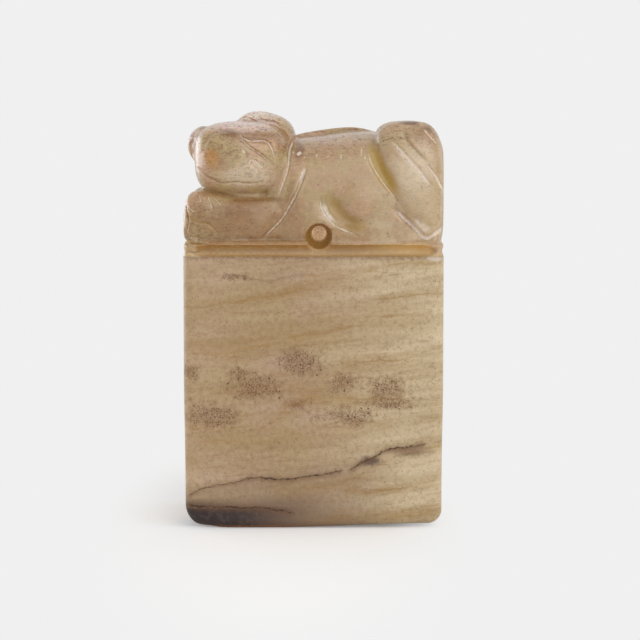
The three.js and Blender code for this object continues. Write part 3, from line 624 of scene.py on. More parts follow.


# %% [markdown]
# Each line is its points, its width, how deep it sinks (less than 0 raises a ridge), whether
# its bottom is sharp, and its tint. A tint above 0 is how pale it is painted: a sharp cut
# isn't polished and catches the light as a whitish thread, and the thread also stands for
# painted glints of light along it. A tint below 0 is how much ochre glow is painted in it, as
# light coming through the thinner stone colours a channel.

# %% Channels and folds of the body, the same on both sides
BODY_LINES = [
    ([(8.8, 18.4), (9.3, 15.6), (10.4, 13.0), (12.0, 10.7), (14.2, 8.2)], 3.0, 0.5, False, -1.15),
    ([(8.3, 16.2), (8.8, 14.4), (9.7, 12.7), (11.1, 10.7), (13.1, 8.4)], 0.45, 0.2, True, 1.1),
    ([(3.0, 10.6), (3.2, 8.4), (4.3, 6.4), (6.6, 4.9), (10.0, 4.1)], 3.6, 0.5, False, -0.9),
    ([(1.5, 9.6), (1.8, 7.4), (2.7, 5.9), (4.2, 4.7)], 1.5, 0.3, False, 0.9),
    ([(1.0, 9.2), (1.3, 7.2), (2.3, 5.7), (3.8, 4.5), (7.0, 3.2)], 0.5, 0.3, True, 1.2),
    ([(-1.2, 13.2), (-2.2, 10.6), (-3.4, 8.2), (-5.2, 5.4), (-7.9, 2.8)], 0.7, 0.4, True, 1),
    ([(-1.0, 14.2), (-1.7, 12.4), (-2.2, 10.8)], 1.2, 0.15, False, 1.0),
    ([(-5.6, 7.0), (-6.3, 4.6), (-8.0, 2.4)], 3.0, 0.3, False, 0),
    ([(12.0, 17.7), (14.0, 15.5), (16.0, 13.4), (18.1, 10.6)], 0.9, 0.35, True, 1.3),
    ([(13.6, 19.4), (14.2, 18.0), (16.3, 15.6), (18.6, 13.4)], 0.9, 0.25, False, 0.2),
    ([(16.8, 19.6), (17.8, 18.4), (19.0, 17.2)], 0.6, 0.3, True, 1.0),
    ([(17.2, 14.2), (18.6, 12.4), (19.9, 10.2)], 0.6, 0.35, True, 1.4),
    # Painted glint: a bright dot by the neck, barely cut.
    ([(-2.4, 16.0), (-2.0, 15.5)], 1.1, 0.1, False, 2.2),
    ([(-15.5, 9.2), (-14.8, 8.5), (-13.8, 7.7)], 0.4, 0.15, True, 0.8),
    ([(12.2, 7.6), (14.0, 5.8), (15.6, 4.4), (17.2, 2.9), (19.0, 3.8), (20.0, 4.6)], 1.2, 0.55, True, 1.2),
    ([(14.0, 6.4), (15.8, 5.2), (17.4, 4.3), (18.8, 4.9)], 2.4, 0.1, False, 0.75),
    ([(8.3, 12.2), (9.0, 10.8), (9.8, 9.6)], 0.4, 0.06, True, 0.6),
    ([(-20.0, 4.4), (-18.9, 2.6), (-17.4, 2.1), (-15.1, 1.9)], 0.9, 0.5, False, 0),
    ([(-17.6, 9.6), (-17.1, 8.2)], 0.5, 0.25, True, 0.9),
    ([(-16.2, 9.3), (-15.4, 7.3)], 0.5, 0.25, True, 0.9),
    ([(-19.6, 7.4), (-18.9, 5.9), (-17.4, 5.3), (-16.0, 5.0), (-14.4, 3.5)], 0.6, 0.15, True, -0.8),
    ([(-20.0, 9.0), (-19.4, 7.2), (-19.2, 5.0), (-19.6, 3.6)], 0.5, 0.25, True, 0.3),
    ([(-19.8, 8.2), (-18.8, 7.2), (-17.9, 6.9)], 0.4, 0.18, True, 0.9),
    ([(-19.6, 6.6), (-18.9, 5.2), (-18.8, 3.9)], 0.4, 0.18, True, 0),
    ([(-18.6, 9.7), (-18.2, 8.9)], 0.4, 0.18, True, 0.3),
]
TICKS = [(-3.1, 15.9, 0.5), (-1.4, 15.2, 0.4), (0.5, 15.4, 0.5), (2.2, 15.3, 0.5), (4.2, 15.3, 0.9)]
TICKS += [(7.3, 15.9, 1.5), (7.9, 15.2, 0.7)]
for x, z, tall in TICKS:
    BODY_LINES.append(([(x + 0.1 * tall, z + tall / 2), (x, z - tall / 2)], 0.4, 0.12, True, 1.1))


# %% The face, the jaw and the neck, on the front only
FACE_LINES = [
    ([(-2.9, 18.2), (-3.6, 16.4), (-3.8, 14.2), (-4.4, 12.0), (-5.7, 8.4)], 0.6, 0.4, True, 1.3),
    ([(-18.0, 10.9), (-15.0, 9.8), (-11.2, 9.0), (-6.6, 8.9), (-3.6, 8.7)], 0.9, 0.35, False, 0),
    ([(-17.6, 14.4), (-16.9, 16.6), (-16.2, 18.1), (-15.0, 19.0), (-13.3, 19.4), (-10.4, 19.2),
      (-5.9, 18.6)], 0.9, 0.35, False, 0),
    ([(-17.9, 16.4), (-17.0, 18.6), (-15.2, 20.0), (-12.0, 20.3), (-8.4, 20.0),
      (-5.6, 19.4)], 1.6, -0.15, False, 0.5),
    ([(-18.0, 12.6), (-17.2, 11.4), (-16.2, 10.8)], 0.5, 0.3, True, 0),
    ([(-17.4, 18.0), (-15.6, 16.4), (-14.4, 14.4), (-15.0, 12.0)], 3.6, 0.4, False, 0),
    ([(-12.6, 18.8), (-10.6, 17.9), (-8.2, 17.9), (-6.4, 16.8), (-5.8, 14.0)], 1.3, 0.25, False, 0),
    ([(-11.5, 19.2), (-10.9, 18.3), (-9.7, 17.7), (-8.5, 17.7), (-7.4, 17.7), (-6.6, 17.0),
      (-6.1, 15.6), (-6.0, 14.4)], 0.5, 0.25, True, 1.1),
    ([(-11.5, 18.4), (-10.0, 17.0), (-8.8, 16.2), (-7.7, 15.4), (-5.9, 13.8)], 0.6, 0.4, True, 1),
    ([(-10.6, 17.4), (-8.3, 16.7), (-6.2, 15.2)], 1.7, -0.2, False, 0),
    ([(-13.0, 15.5), (-12.2, 16.1), (-11.4, 16.2), (-10.6, 16.1), (-10.0, 15.4)], 0.5, 0.22, True, 0.6),
    # Painted glint on the tip of the nose.
    ([(-10.9, 16.4), (-10.4, 15.9)], 0.7, 0.1, True, 1.4),
    ([(-10.0, 13.8), (-9.5, 14.8), (-8.8, 14.6), (-8.2, 14.1), (-7.4, 13.3)], 0.5, 0.3, True, 1.2),
    ([(-9.6, 14.0), (-8.9, 13.6), (-8.3, 12.9)], 0.5, 0.2, True, 1),
    ([(-13.2, 15.8), (-11.0, 14.2), (-9.0, 12.0)], 6.4, -0.45, False, 0),
    ([(-17.9, 13.6), (-16.9, 12.8), (-15.7, 12.0), (-14.3, 11.6)], 0.6, 0.35, True, 0),
    ([(-15.2, 11.6), (-13.6, 11.3), (-12.0, 11.5), (-9.6, 11.3), (-7.4, 11.6)], 0.5, 0.25, True, 0),
    ([(-7.2, 13.4), (-6.6, 12.0), (-7.2, 10.8)], 1.0, 0.2, False, 0),
]

# %% Curls of the hair and the hollow of the ear, which lie deeper in the stone
HAIR_LINES = [
    ([(-13.2, 20.6), (-12.0, 21.2), (-10.6, 21.4), (-9.2, 20.9), (-8.4, 20.2)], 0.6, 0.35, True, 0.2),
    ([(-11.6, 20.2), (-10.6, 20.7), (-9.4, 20.4), (-8.4, 19.7), (-7.0, 19.6)], 0.6, 0.35, True, 0.4),
    ([(-8.6, 21.4), (-7.4, 20.9), (-6.0, 20.6), (-4.6, 19.8)], 0.6, 0.35, True, 0.3),
    ([(-7.2, 20.2), (-5.8, 19.9), (-4.4, 18.8), (-3.8, 17.4)], 0.6, 0.3, True, 0.4),
    ([(-5.2, 21.0), (-3.9, 20.2), (-3.2, 18.6)], 0.5, 0.3, True, 0),
    ([(-4.8, 17.0), (-4.0, 15.8), (-3.9, 14.2)], 0.5, 0.2, True, 0.2),
    ([(-18.6, 18.4), (-18.9, 16.6), (-18.3, 14.8)], 1.6, 0.7, False, 0),
    ([(-17.6, 19.4), (-16.6, 20.0), (-15.4, 20.3)], 0.6, 0.2, True, 0),
]


# %% Cut them
BODY_REACH, HAIR_REACH = 6.5, 14.0  # how deep behind the long side a line still acts


def each_line(places, normals):
    """Every line's side, depth and tint, with its weight at every point of the skin."""
    for side, lines, reach in (
        (FRONT, BODY_LINES + FACE_LINES, BODY_REACH),
        (FRONT, HAIR_LINES, HAIR_REACH),
        (BEHIND, BODY_LINES, BODY_REACH),
    ):
        here = facing(side, places, normals, reach)
        for points, width, depth, sharp, tint in lines:
            weight = line_weight(points, width, places[:, 0], places[:, 2] - LEDGE, sharp)
            yield side, depth, tint, weight * here


shift = np.zeros(len(places))
for side, depth, _, weight in each_line(places, normals):
    shift -= side * depth * weight
places[:, 1] += shift
put_back(beast, places)

# %% Thin the flat parts out
MOST_TRIANGLES = 190_000
thin = beast.modifiers.new("thin", "DECIMATE")
thin.ratio = min(1.0, MOST_TRIANGLES / (2 * len(beast.data.polygons)))
finished(beast)
for piece in (beast, block):
    piece.data.shade_smooth()
print(f"beast: {len(beast.data.polygons)} faces")

# %% [markdown]
# Three numbers are kept at every point for the stone's colour: how hollow the skin is there,
# from where the mean of its surroundings lies, how pale the lines are with their painted
# glints, and how much ochre glow is painted in them.

# %% Hollow, pale and ochre
AROUND_ROUNDS, BLEND_ROUNDS = 14, 3  # how far a point's surroundings reach, and a softening
for piece in (beast, block):
    places, normals = skin_arrays(piece)
    inwards = ((evened(piece, places, AROUND_ROUNDS) - places) * normals).sum(1)
    hollow = evened(piece, inwards[:, None], BLEND_ROUNDS)[:, 0]
    pale_and_glint, ochre_glow = np.zeros(len(places)), np.zeros(len(places))
    if piece is beast:
        for _, _, tint, weight in each_line(places, normals):
            pale_and_glint = np.maximum(pale_and_glint, tint * weight)
            ochre_glow = np.maximum(ochre_glow, -tint * weight)
    for name, values in (("hollow", hollow), ("pale_and_glint", pale_and_glint), ("ochre_glow", ochre_glow)):
        attribute = piece.data.attributes.new(name, "FLOAT", "POINT")
        attribute.data.foreach_set("value", values.astype(np.float32))
    print(piece.name, "hollow", np.percentile(hollow, [1, 50, 99]).round(3))


# %% [markdown]
# ## Stone
# The stone is one solid with layers: its colour is worked out from the place inside it, so
# layers, cracks and specks run round the corners. Arithmetic on sockets is written as
# arithmetic: every operator adds one Math node.

# %% Sockets that can be added and multiplied
class Wire:
    """An output socket of a node tree. Sums and products with it add Math nodes."""

    def __init__(self, graph, socket):
        self.graph, self.socket = graph, socket

    def __add__(self, other):
        return self.graph.maths("ADD", self, other)

    def __sub__(self, other):
        return self.graph.maths("SUBTRACT", self, other)

    def __rsub__(self, other):
        return self.graph.maths("SUBTRACT", other, self)

    def __mul__(self, other):
        return self.graph.maths("MULTIPLY", self, other)

    def __abs__(self):
        return self.graph.maths("ABSOLUTE", self)

    __radd__, __rmul__ = __add__, __mul__


class Graph:
    """A node tree, emptied, with one method that adds any shader node."""

    def __init__(self, tree):
        self.nodes, self.links = tree.nodes, tree.links
        self.nodes.clear()

    def node(self, kind, inputs=None, output=0, **settings):
        made = self.nodes.new("ShaderNode" + kind)
        for name, value in settings.items():
            setattr(made, name, value)
        for name, value in (inputs or {}).items():
            if isinstance(value, Wire):
                self.links.new(value.socket, made.inputs[name])
            else:
                made.inputs[name].default_value = value
        return Wire(self, made.outputs[output]) if len(made.outputs) else made

    def maths(self, operation, *values):
        return self.node("Math", dict(enumerate(values)), operation=operation)

    def larger(self, first, second):
        return self.maths("MAXIMUM", first, second)

    def vector(self, operation, *values, output=0):
        return self.node("VectorMath", dict(enumerate(values)), output, operation=operation)

    def step(self, low, high, value):
        """0 at low, 1 at high and smooth between; low may be the greater one."""
        inputs = {"Value": value, "From Min": min(low, high), "From Max": max(low, high)}
        inputs |= {"To Min": 0.0 if low < high else 1.0, "To Max": 1.0 if low < high else 0.0}
        return self.node("MapRange", inputs, interpolation_type="SMOOTHSTEP")

    def noise(self, place, scale, detail, roughness):
        inputs = {"Vector": place, "Scale": scale, "Detail": detail, "Roughness": roughness}
        return self.node("TexNoise", inputs)

    def mix(self, share, first, second):
        """The Mix node's colour sockets are its inputs 6 and 7 and its output 2."""
        return self.node("Mix", {0: share, 6: first, 7: second}, 2, data_type="RGBA")

    def curve(self, value, points):
        """A smooth curve through points of the unit square."""
        height = self.node("FloatCurve", {"Value": value})
        mapping = height.socket.node.mapping
        line = mapping.curves[0]
        line.points[0].location, line.points[1].location = points[0], points[-1]
        for point in points[1:-1]:
            line.points.new(*point)
        mapping.update()
        return height

    def dots(self, place, scale, density, size=0.32):
        """Round dots, one in each Voronoi cell whose own random number is under the density."""
        inputs = {"Vector": place, "Scale": scale}
        away = self.node("TexVoronoi", inputs)
        colour = Wire(self, away.socket.node.outputs["Color"])
        chance = self.node("SeparateColor", {0: colour})
        return self.step(size, 0.5 * size, away) * self.maths("LESS_THAN", chance, density)

    def spot(self, place, centre, reach):
        """How many reaches a place is from a centre: 1 on the ellipsoid that they describe."""
        shift = tuple(-c / r for c, r in zip(centre, reach))
        away = self.vector("MULTIPLY_ADD", place, tuple(1 / r for r in reach), shift)
        return self.vector("LENGTH", away, output="Value")


def tone(red, green, blue):
    """A colour given in the 0 to 255 of a picture, as the linear light that shaders use."""
    c = np.array([red, green, blue]) / 255
    linear = np.where(c > 0.04045, ((c + 0.055) / 1.055) ** 2.4, c / 12.92)
    return (*linear.tolist(), 1.0)


BLACK = tone(0, 0, 0)

# %% [markdown]
# ## Layers and texture
# The layers rise gently to the right and towards the back. Each material starts from them:
# the ground block shows them plainly, and in the polished beast they are soft clouds.

# %% What every layer reads, and the colour that it adds to
class Stone(Graph):
    """A point's coordinates in millimetres, the noise at it, and its colour so far. Its level
    is its height less the layers' rise, and flat is its place stretched along the layers."""

    def __init__(self, tree, base):
        super().__init__(tree)
        self.colour = tone(*base)
        place = self.node("TexCoord", output="Object")
        self.place = self.node("VectorMath", {0: place, "Scale": 1 / MM}, operation="SCALE")
        self.x, self.y, self.z = (self.node("SeparateXYZ", {0: self.place}, i) for i in range(3))
        self.depth = self.y + HALF_Y
        self.level = self.z - 0.07 * self.depth
        upright = self.level - 0.1 * self.x
        self.flat = self.node("CombineXYZ", {0: 0.12 * self.x, 1: 0.12 * self.y, 2: upright})
        self.broad = self.noise(self.flat, 0.16, 2, 0.5)
        self.patch = self.noise(self.place, 0.28, 3, 0.5)
        self.mottle = self.noise(self.place, 1.3, 4, 0.65)
        self.wobble = 1.6 * (self.noise(self.place, 0.35, 2, 0.5) - 0.5)
        self.jitter = 0.5 * (self.noise(self.place, 1.8, 2, 0.6) - 0.5)

    def lay(self, share, red, green, blue):
        """Covers a share of the colour so far with another tone."""
        self.colour = self.mix(share, self.colour, tone(red, green, blue))


# %% The layers of the block, and the clouds of the beast
def layered(g):
    """Paler towards both ends, with brown bands and a darker layer low under the head."""
    g.lay(g.step(0.36, 0.64, g.noise(g.place, 0.09, 2, 0.5)), 194, 164, 136)
    g.lay(g.step(-6.0, -20.0, g.x) * 0.45, 214, 188, 154)
    # Paler towards the tail end: partly the layers, and partly painted light from the right coming through
    # the stone.
    g.lay(g.step(-3.0, 18.0, g.x + 4 * g.broad), 224, 205, 170)
    g.lay(g.step(0.45, 0.62, g.broad) * 0.4, 178, 148, 100)
    g.lay(g.step(0.4, 0.65, g.noise(g.flat, 0.5, 4, 0.6)) * 0.35, 162, 130, 82)
    g.lay(g.step(0.55, 0.75, g.noise(g.flat, 1.6, 3, 0.6)) * 0.4, 150, 112, 66)
    lower = g.step(10.6, 8.0, g.level + 0.5 * g.wobble - 0.16 * g.x) * g.step(15.0, 4.0, g.x)
    g.lay(lower * 0.4, 140, 116, 88)


def clouded(g):
    """Two warm tones in patches, paler towards the tail, partly as painted light from the right."""
    g.lay(g.step(0.38, 0.62, g.patch), 192, 167, 122)
    g.lay(g.step(2.0, 17.0, g.x + 3 * g.broad) * 0.5, 206, 182, 148)
    g.lay(g.step(0.45, 0.65, g.broad) * 0.35, 176, 144, 98)


def textured(g, strength):
    """Mottling and grain, darker and lighter than the layer that they lie in."""
    g.lay(g.step(0.55, 0.25, g.mottle) * strength, 140, 106, 74)
    g.lay(g.step(0.5, 0.8, g.mottle) * (strength - 0.15), 212, 192, 160)
    g.lay(g.step(0.5, 0.26, g.noise(g.place, 4.5, 3, 0.7)) * strength, 124, 90, 60)


# %% [markdown]
# ## Seams, cracks and specks
# These are drawn on the front face, across the block and above its base, and the layers' slope
# carries them through the stone. Every line is its points, its width and its strength. Every
# cluster of specks is its centre and its reach both ways.

# %% Where they lie
SEAMS = [
    ([(-20, 34.2), (-11.3, 35.3), (-6, 36.2), (1, 37.2)], 0.5, 0.7),
    ([(-1.5, 39.4), (3, 39.2), (7, 39.2), (9.1, 39.8), (13.4, 40.8), (20, 41.2)], 0.6, 0.9),
    ([(-19, 27.4), (-14.5, 27.2), (-8, 28.5), (-1, 30.0), (6, 31.2)], 0.9, 0.7),
    ([(4, 25.6), (7.7, 25.8), (11.4, 26.3), (14.8, 26.7), (20, 27.8)], 0.5, 1.0),
    ([(-1, 32.0), (5, 32.8), (12, 33.0), (18, 32.8)], 0.9, 0.6),
    ([(10, 35.4), (14, 36.0), (17, 36.4), (20, 36.2)], 0.3, 0.9),
    ([(-19.3, 15.7), (-11.9, 15.8), (-6.2, 16.4), (-4.5, 18.2), (-0.5, 20.1), (6.4, 20.2),
      (14, 20)], 0.7, 0.9),
    ([(-18, 13.4), (-10, 13.9), (-3, 14.5), (4, 16), (12, 16.6)], 0.4, 0.6),
    ([(4.5, 5.9), (8.4, 6.0), (12.1, 6.2), (16.4, 7.0), (20, 7.6)], 0.35, 1.0),
    ([(-6, 6), (0, 6.4), (5, 7.2), (9, 9.4), (14, 11.6), (20, 12.8)], 0.7, 0.6),
    ([(-18, 21.6), (-11, 21.5), (-4, 23.1), (3, 23.7), (10, 24.9), (20, 25.6)], 0.6, 0.4),
    ([(2, 1.6), (8, 2.2), (14, 2.0), (19, 2.8)], 0.4, 0.7),
]
CRACKS = [
    ([(-13.6, 39.0), (-11.5, 39.3), (-9, 38.6), (-6.5, 38.5), (-3, 39.2), (-1, 39.4)], 0.12, 0.3),
    ([(-19.4, 5.0), (-18.0, 5.8), (-16.6, 6.4), (-13.4, 7.0), (-10.7, 7.6)], 0.16, 0.75),
    ([(-11.6, 7.4), (-9.6, 7.9), (-8.2, 7.9), (-5, 7.7), (-2.1, 7.9), (0.7, 8.3), (4.5, 9.0)], 0.2, 0.95),
    ([(5.4, 9.1), (7.2, 10.1), (9.3, 11.1), (10.7, 12.0), (12.4, 12.5), (14.9, 12.7),
      (17.3, 13.2)], 0.24, 1.0),
    ([(-19.6, 3.6), (-16.1, 3.3), (-13.2, 3.3), (-8.2, 3.2), (-5.6, 2.9), (-3, 2.3)], 0.24, 0.95),
]
CLUSTERS = [
    (-19.2, 24.2, 2.2, 1.6), (-11.4, 24.0, 2.8, 1.2), (-1.8, 25.6, 4.4, 2.8), (-9.4, 22.0, 5.8, 2.6),
    (4.6, 22.8, 3.0, 1.7), (11.3, 22.0, 3.8, 2.5), (-15.8, 17.8, 4.8, 2.4), (5.0, 17.6, 6.0, 1.6),
    (-11.5, 39.0, 3.0, 0.8), (12.0, 19.4, 5.0, 1.2), (-2.6, 19.4, 2.4, 1.2),
]


# %% From lists to colour
def drawn(g, lines, height, glow):
    """The strongest of the lines at a point, each with a fainter glow round it."""
    across = (g.x + HALF_X) * (0.5 / HALF_X)
    strongest = 0.0
    for points, width, strength in lines:
        unit_points = [((px + HALF_X) / (2 * HALF_X), pz / LEDGE) for px, pz in points]
        away = abs(height - LEDGE * g.curve(across, unit_points))
        line = g.larger(g.step(width, 0.0, away), g.step(4 * width, 0.0, away) * glow)
        line = line * strength
        line = line * g.step(points[0][0] - 0.4, points[0][0] + 0.6, g.x)
        line = line * g.step(points[-1][0] + 0.4, points[-1][0] - 0.6, g.x)
        strongest = g.larger(line, strongest)
    return strongest


def seamed(g):
    """The yellow veins, broken up by a noise that lies in the layers."""
    seams = drawn(g, SEAMS, g.level + g.wobble + 1.6 * g.jitter, 0.6)
    seams = seams * g.step(0.25, 0.65, g.noise(g.flat, 1.1, 4, 0.7))
    g.lay(seams * 0.75, 160, 118, 48)


def specked(g):
    """Brown hazy clusters with dark crumbs in them, and a few dots everywhere."""
    cluster = g.step(0.58, 0.75, g.noise(g.place, 0.17, 2, 0.5)) * 0.6 * g.step(1.0, 5.0, g.depth)
    for px, pz, reach_x, reach_z in CLUSTERS:
        away = g.spot(g.place, (px, -HALF_Y, pz), (reach_x, 7.0, reach_z))
        away = away + 1.6 * (g.mottle - 0.5) + 1.6 * (g.patch - 0.5)
        cluster = g.larger(cluster, g.step(1.2, 0.1, away))
    fine = g.noise(g.place, 3.6, 4, 0.8)
    g.lay(cluster * (0.2 + 0.7 * g.step(0.4, 0.6, fine)), 130, 90, 56)
    dense = cluster * g.mottle
    crumbs = g.dots(g.place, 3.0, 0.06 + 0.9 * dense, 0.42)
    crumbs = g.larger(crumbs * (0.5 + 0.4 * cluster), g.dots(g.place, 1.9, 0.22 * dense, 0.42))
    g.lay(crumbs * 0.8, 88, 54, 30)
    return crumbs


def stains_and_painted_light(g):
    """The dark corner at the base under the head, darker towards the bottom, the cracks, the
    brown line and pale thread at the top edge, a painted warm glow along the bottom edge and a
    painted highlight on the facet at the top corner.
    """
    front = g.step(15.0, 6.0, g.depth)
    under = g.z - g.jitter
    warm = g.step(6.4, 4.0, under - 0.09 * g.x) * g.step(5.0, -6.0, g.x)
    dark = g.step(3.6, 3.0, under) * g.step(1.0, -13.0, g.x)
    shade = g.step(4.9, 3.4, under) * g.step(-9.0, -19.0, g.x) * 0.7
    g.lay(g.step(6.5, 0.5, g.z) * g.step(15.0, 0.0, g.x) * 0.5, 136, 110, 84)
    g.lay(warm * front * 0.7, 126, 100, 84)
    darkest = g.mix(g.step(0.45, 0.7, g.mottle), tone(58, 45, 44), tone(84, 68, 62))
    g.colour = g.mix(g.larger(dark, shade) * front, g.colour, darkest)
    for px, pz, reach_x, reach_z, colour, strength in (
        (8.7, 10.5, 2.0, 1.0, (78, 56, 56), 0.8),
        (15.0, 12.0, 3.6, 1.1, (116, 82, 54), 0.55),
    ):
        away = g.spot(g.place, (px, -HALF_Y, pz), (reach_x, 6.0, reach_z))
        g.lay(g.step(1.2, 0.2, away + 2 * g.jitter) * strength, *colour)
    height = g.level + 0.3 * g.wobble + 1.2 * g.jitter
    broken = 0.3 + 0.7 * g.step(0.4, 0.6, g.mottle)
    halo = drawn(g, CRACKS, height + 0.1, 0.9) * front
    g.lay(halo * 0.6, 122, 82, 46)
    cracks = drawn(g, CRACKS, height, 0.0) * front * broken
    g.lay(cracks, 46, 18, 4)
    # Painted glow: a warm orange line along the bottom edge, as light from below and inside the stone would
    # show there.
    bottom_glow = g.step(0.6, 0.15, g.z + g.jitter) * 0.7
    g.lay(bottom_glow, 164, 104, 46)
    below = LEDGE - g.z + g.jitter
    top = g.step(0.75, 0.1, below) * g.step(0.7, 0.35, g.noise(g.place, 1.6, 4, 0.8))
    top = g.larger(top, g.step(1.0, 0.3, below) * g.step(15.0, 6.0, g.x) * 0.3)
    g.lay(top * 0.65, 122, 74, 32)
    thread = g.step(0.2, 0.05, abs(below - 0.45)) * g.step(0.45, 0.6, g.noise(g.place, 0.9, 4, 0.7))
    g.lay(thread * 0.15, 232, 206, 182)
    # Painted highlight: a pale patch on the small facet at the top front corner under the tail.
    facet_highlight = g.spot(g.place, (18.7, -HALF_Y, LEDGE), (1.6, 3.0, 0.8))
    g.lay(g.step(1.1, 0.5, facet_highlight + g.jitter) * 0.7, 228, 210, 192)
    return cracks


# %% [markdown]
# ## The beast's colouring, with painted light and shade
# The carving thins the stone in places and thickens it in others. Its hollows and channels are
# painted ochre, as light coming through the thinner stone colours them, and some patches are
# painted highlights and shade. Broad patches are placed as an ellipse across the front and
# above the ledge, with a tone and a strength. The rest comes from the numbers kept at each
# point.

# %% Patches
MARKS = [
    # The brow, topknot and side of the head patches are painted highlights: pale where the polish reflects
    # the lights from above and from the left.
    (-11.0, 20.4, 7.0, 1.6, (246, 220, 210), 0.85),  # brow
    (-9.2, 21.8, 5.0, 1.2, (255, 236, 222), 0.85),  # topknot
    (-18.4, 15.0, 1.4, 4.6, (218, 184, 168), 0.6),  # side of the head
    (-10.4, 12.8, 4.4, 2.4, (224, 206, 178), 0.75),  # cheek and muzzle
    # Painted shade in a brown band under the brow ridge.
    (-9.0, 18.4, 6.0, 0.8, (146, 104, 62), 0.6),  # under the brow
    (-13.0, 18.8, 1.6, 0.7, (130, 86, 44), 0.7),
    (-15.0, 16.8, 1.4, 1.4, (176, 140, 90), 0.6),
    (-15.5, 15.2, 1.3, 1.6, (204, 146, 66), 0.7),  # far eye's socket
    (-14.2, 13.9, 2.0, 0.9, (180, 136, 84), 0.55),
    # The two patches under the chin are painted shade, where the head overhangs the foreleg.
    (-15.2, 9.6, 3.0, 0.9, (164, 116, 72), 0.4),  # under the chin
    (-8.5, 8.6, 5.0, 0.5, (140, 100, 66), 0.6),
    (-7.4, 15.8, 1.6, 1.4, (206, 176, 128), 0.6),  # near eye
    (-4.0, 17.8, 1.7, 2.6, (156, 112, 60), 0.7),  # temple
    (-3.4, 8.8, 1.0, 3.2, (144, 108, 70), 0.6),  # breast
    (-2.2, 16.4, 0.8, 1.8, (134, 92, 54), 0.7),  # hollow between mane and back
    # Painted highlight along the far ear's rim.
    (-18.8, 18.4, 1.8, 2.8, (246, 226, 222), 0.7),  # far ear
    (-18.9, 17.6, 0.9, 1.6, (136, 92, 54), 0.6),
    (-13.0, 5.2, 8.5, 3.6, (152, 110, 58), 0.65),  # foreleg
    (-11.0, 7.6, 6.0, 1.6, (150, 104, 48), 0.5),
    (-4.5, 4.6, 6.5, 4.6, (168, 132, 90), 0.65),  # belly
    (7.5, 3.6, 5.0, 1.4, (156, 118, 58), 0.6),  # under the thigh
    (13.0, 3.8, 2.4, 1.6, (176, 144, 100), 0.6),
    (17.0, 18.4, 3.0, 1.6, (168, 130, 92), 0.7),  # top of the haunch
    (2.5, 18.2, 8.0, 1.2, (222, 192, 170), 0.6),  # back
    (15.4, 13.0, 3.6, 5.0, (230, 213, 184), 0.75),  # haunch
    (17.4, 5.6, 2.4, 4.0, (208, 184, 146), 0.5),  # foot of the haunch
    (14.8, 20.5, 1.5, 0.35, (104, 66, 44), 0.8),
    (17.4, 19.5, 0.9, 0.35, (112, 76, 50), 0.7),
    (6.2, 19.4, 1.8, 0.3, (112, 74, 50), 0.7),
]


def marked(g):
    """The patches, and the fibres and crumbs of the head, the back and the forelegs."""
    rough_edge = 1.2 * (g.patch - 0.5) + 0.8 * (g.mottle - 0.5)
    for px, pz, reach_x, reach_z, colour, strength in MARKS:
        away = g.spot(g.place, (px, -HALF_Y, pz + LEDGE), (reach_x, 20.0, reach_z))
        g.lay(g.step(1.3, 0.3, away + rough_edge) * strength, *colour)
    upper = g.step(LEDGE + 13.0, LEDGE + 18.0, g.z - 0.1 * g.x)
    legs = g.step(-4.0, -13.0, g.x) * g.step(LEDGE + 9.5, LEDGE + 7.5, g.z)
    head = g.step(-4.0, -7.0, g.x) * g.step(LEDGE + 9.0, LEDGE + 12.0, g.z) * 0.6
    dirty = 0.3 + 0.7 * g.larger(g.larger(upper, legs), head)
    slanted = g.vector("MULTIPLY", g.place, (1.3, 1.0, 4.0))
    fibres = g.step(0.5, 0.62, g.noise(slanted, 0.9, 5, 0.8)) * dirty
    g.lay(fibres * 0.7, 120, 80, 50)
    crumbs = g.larger(g.dots(g.place, 1.5, 0.08 * dirty), g.dots(g.place, 2.6, 0.25 * dirty))
    g.lay(crumbs * 0.6, 92, 58, 32)


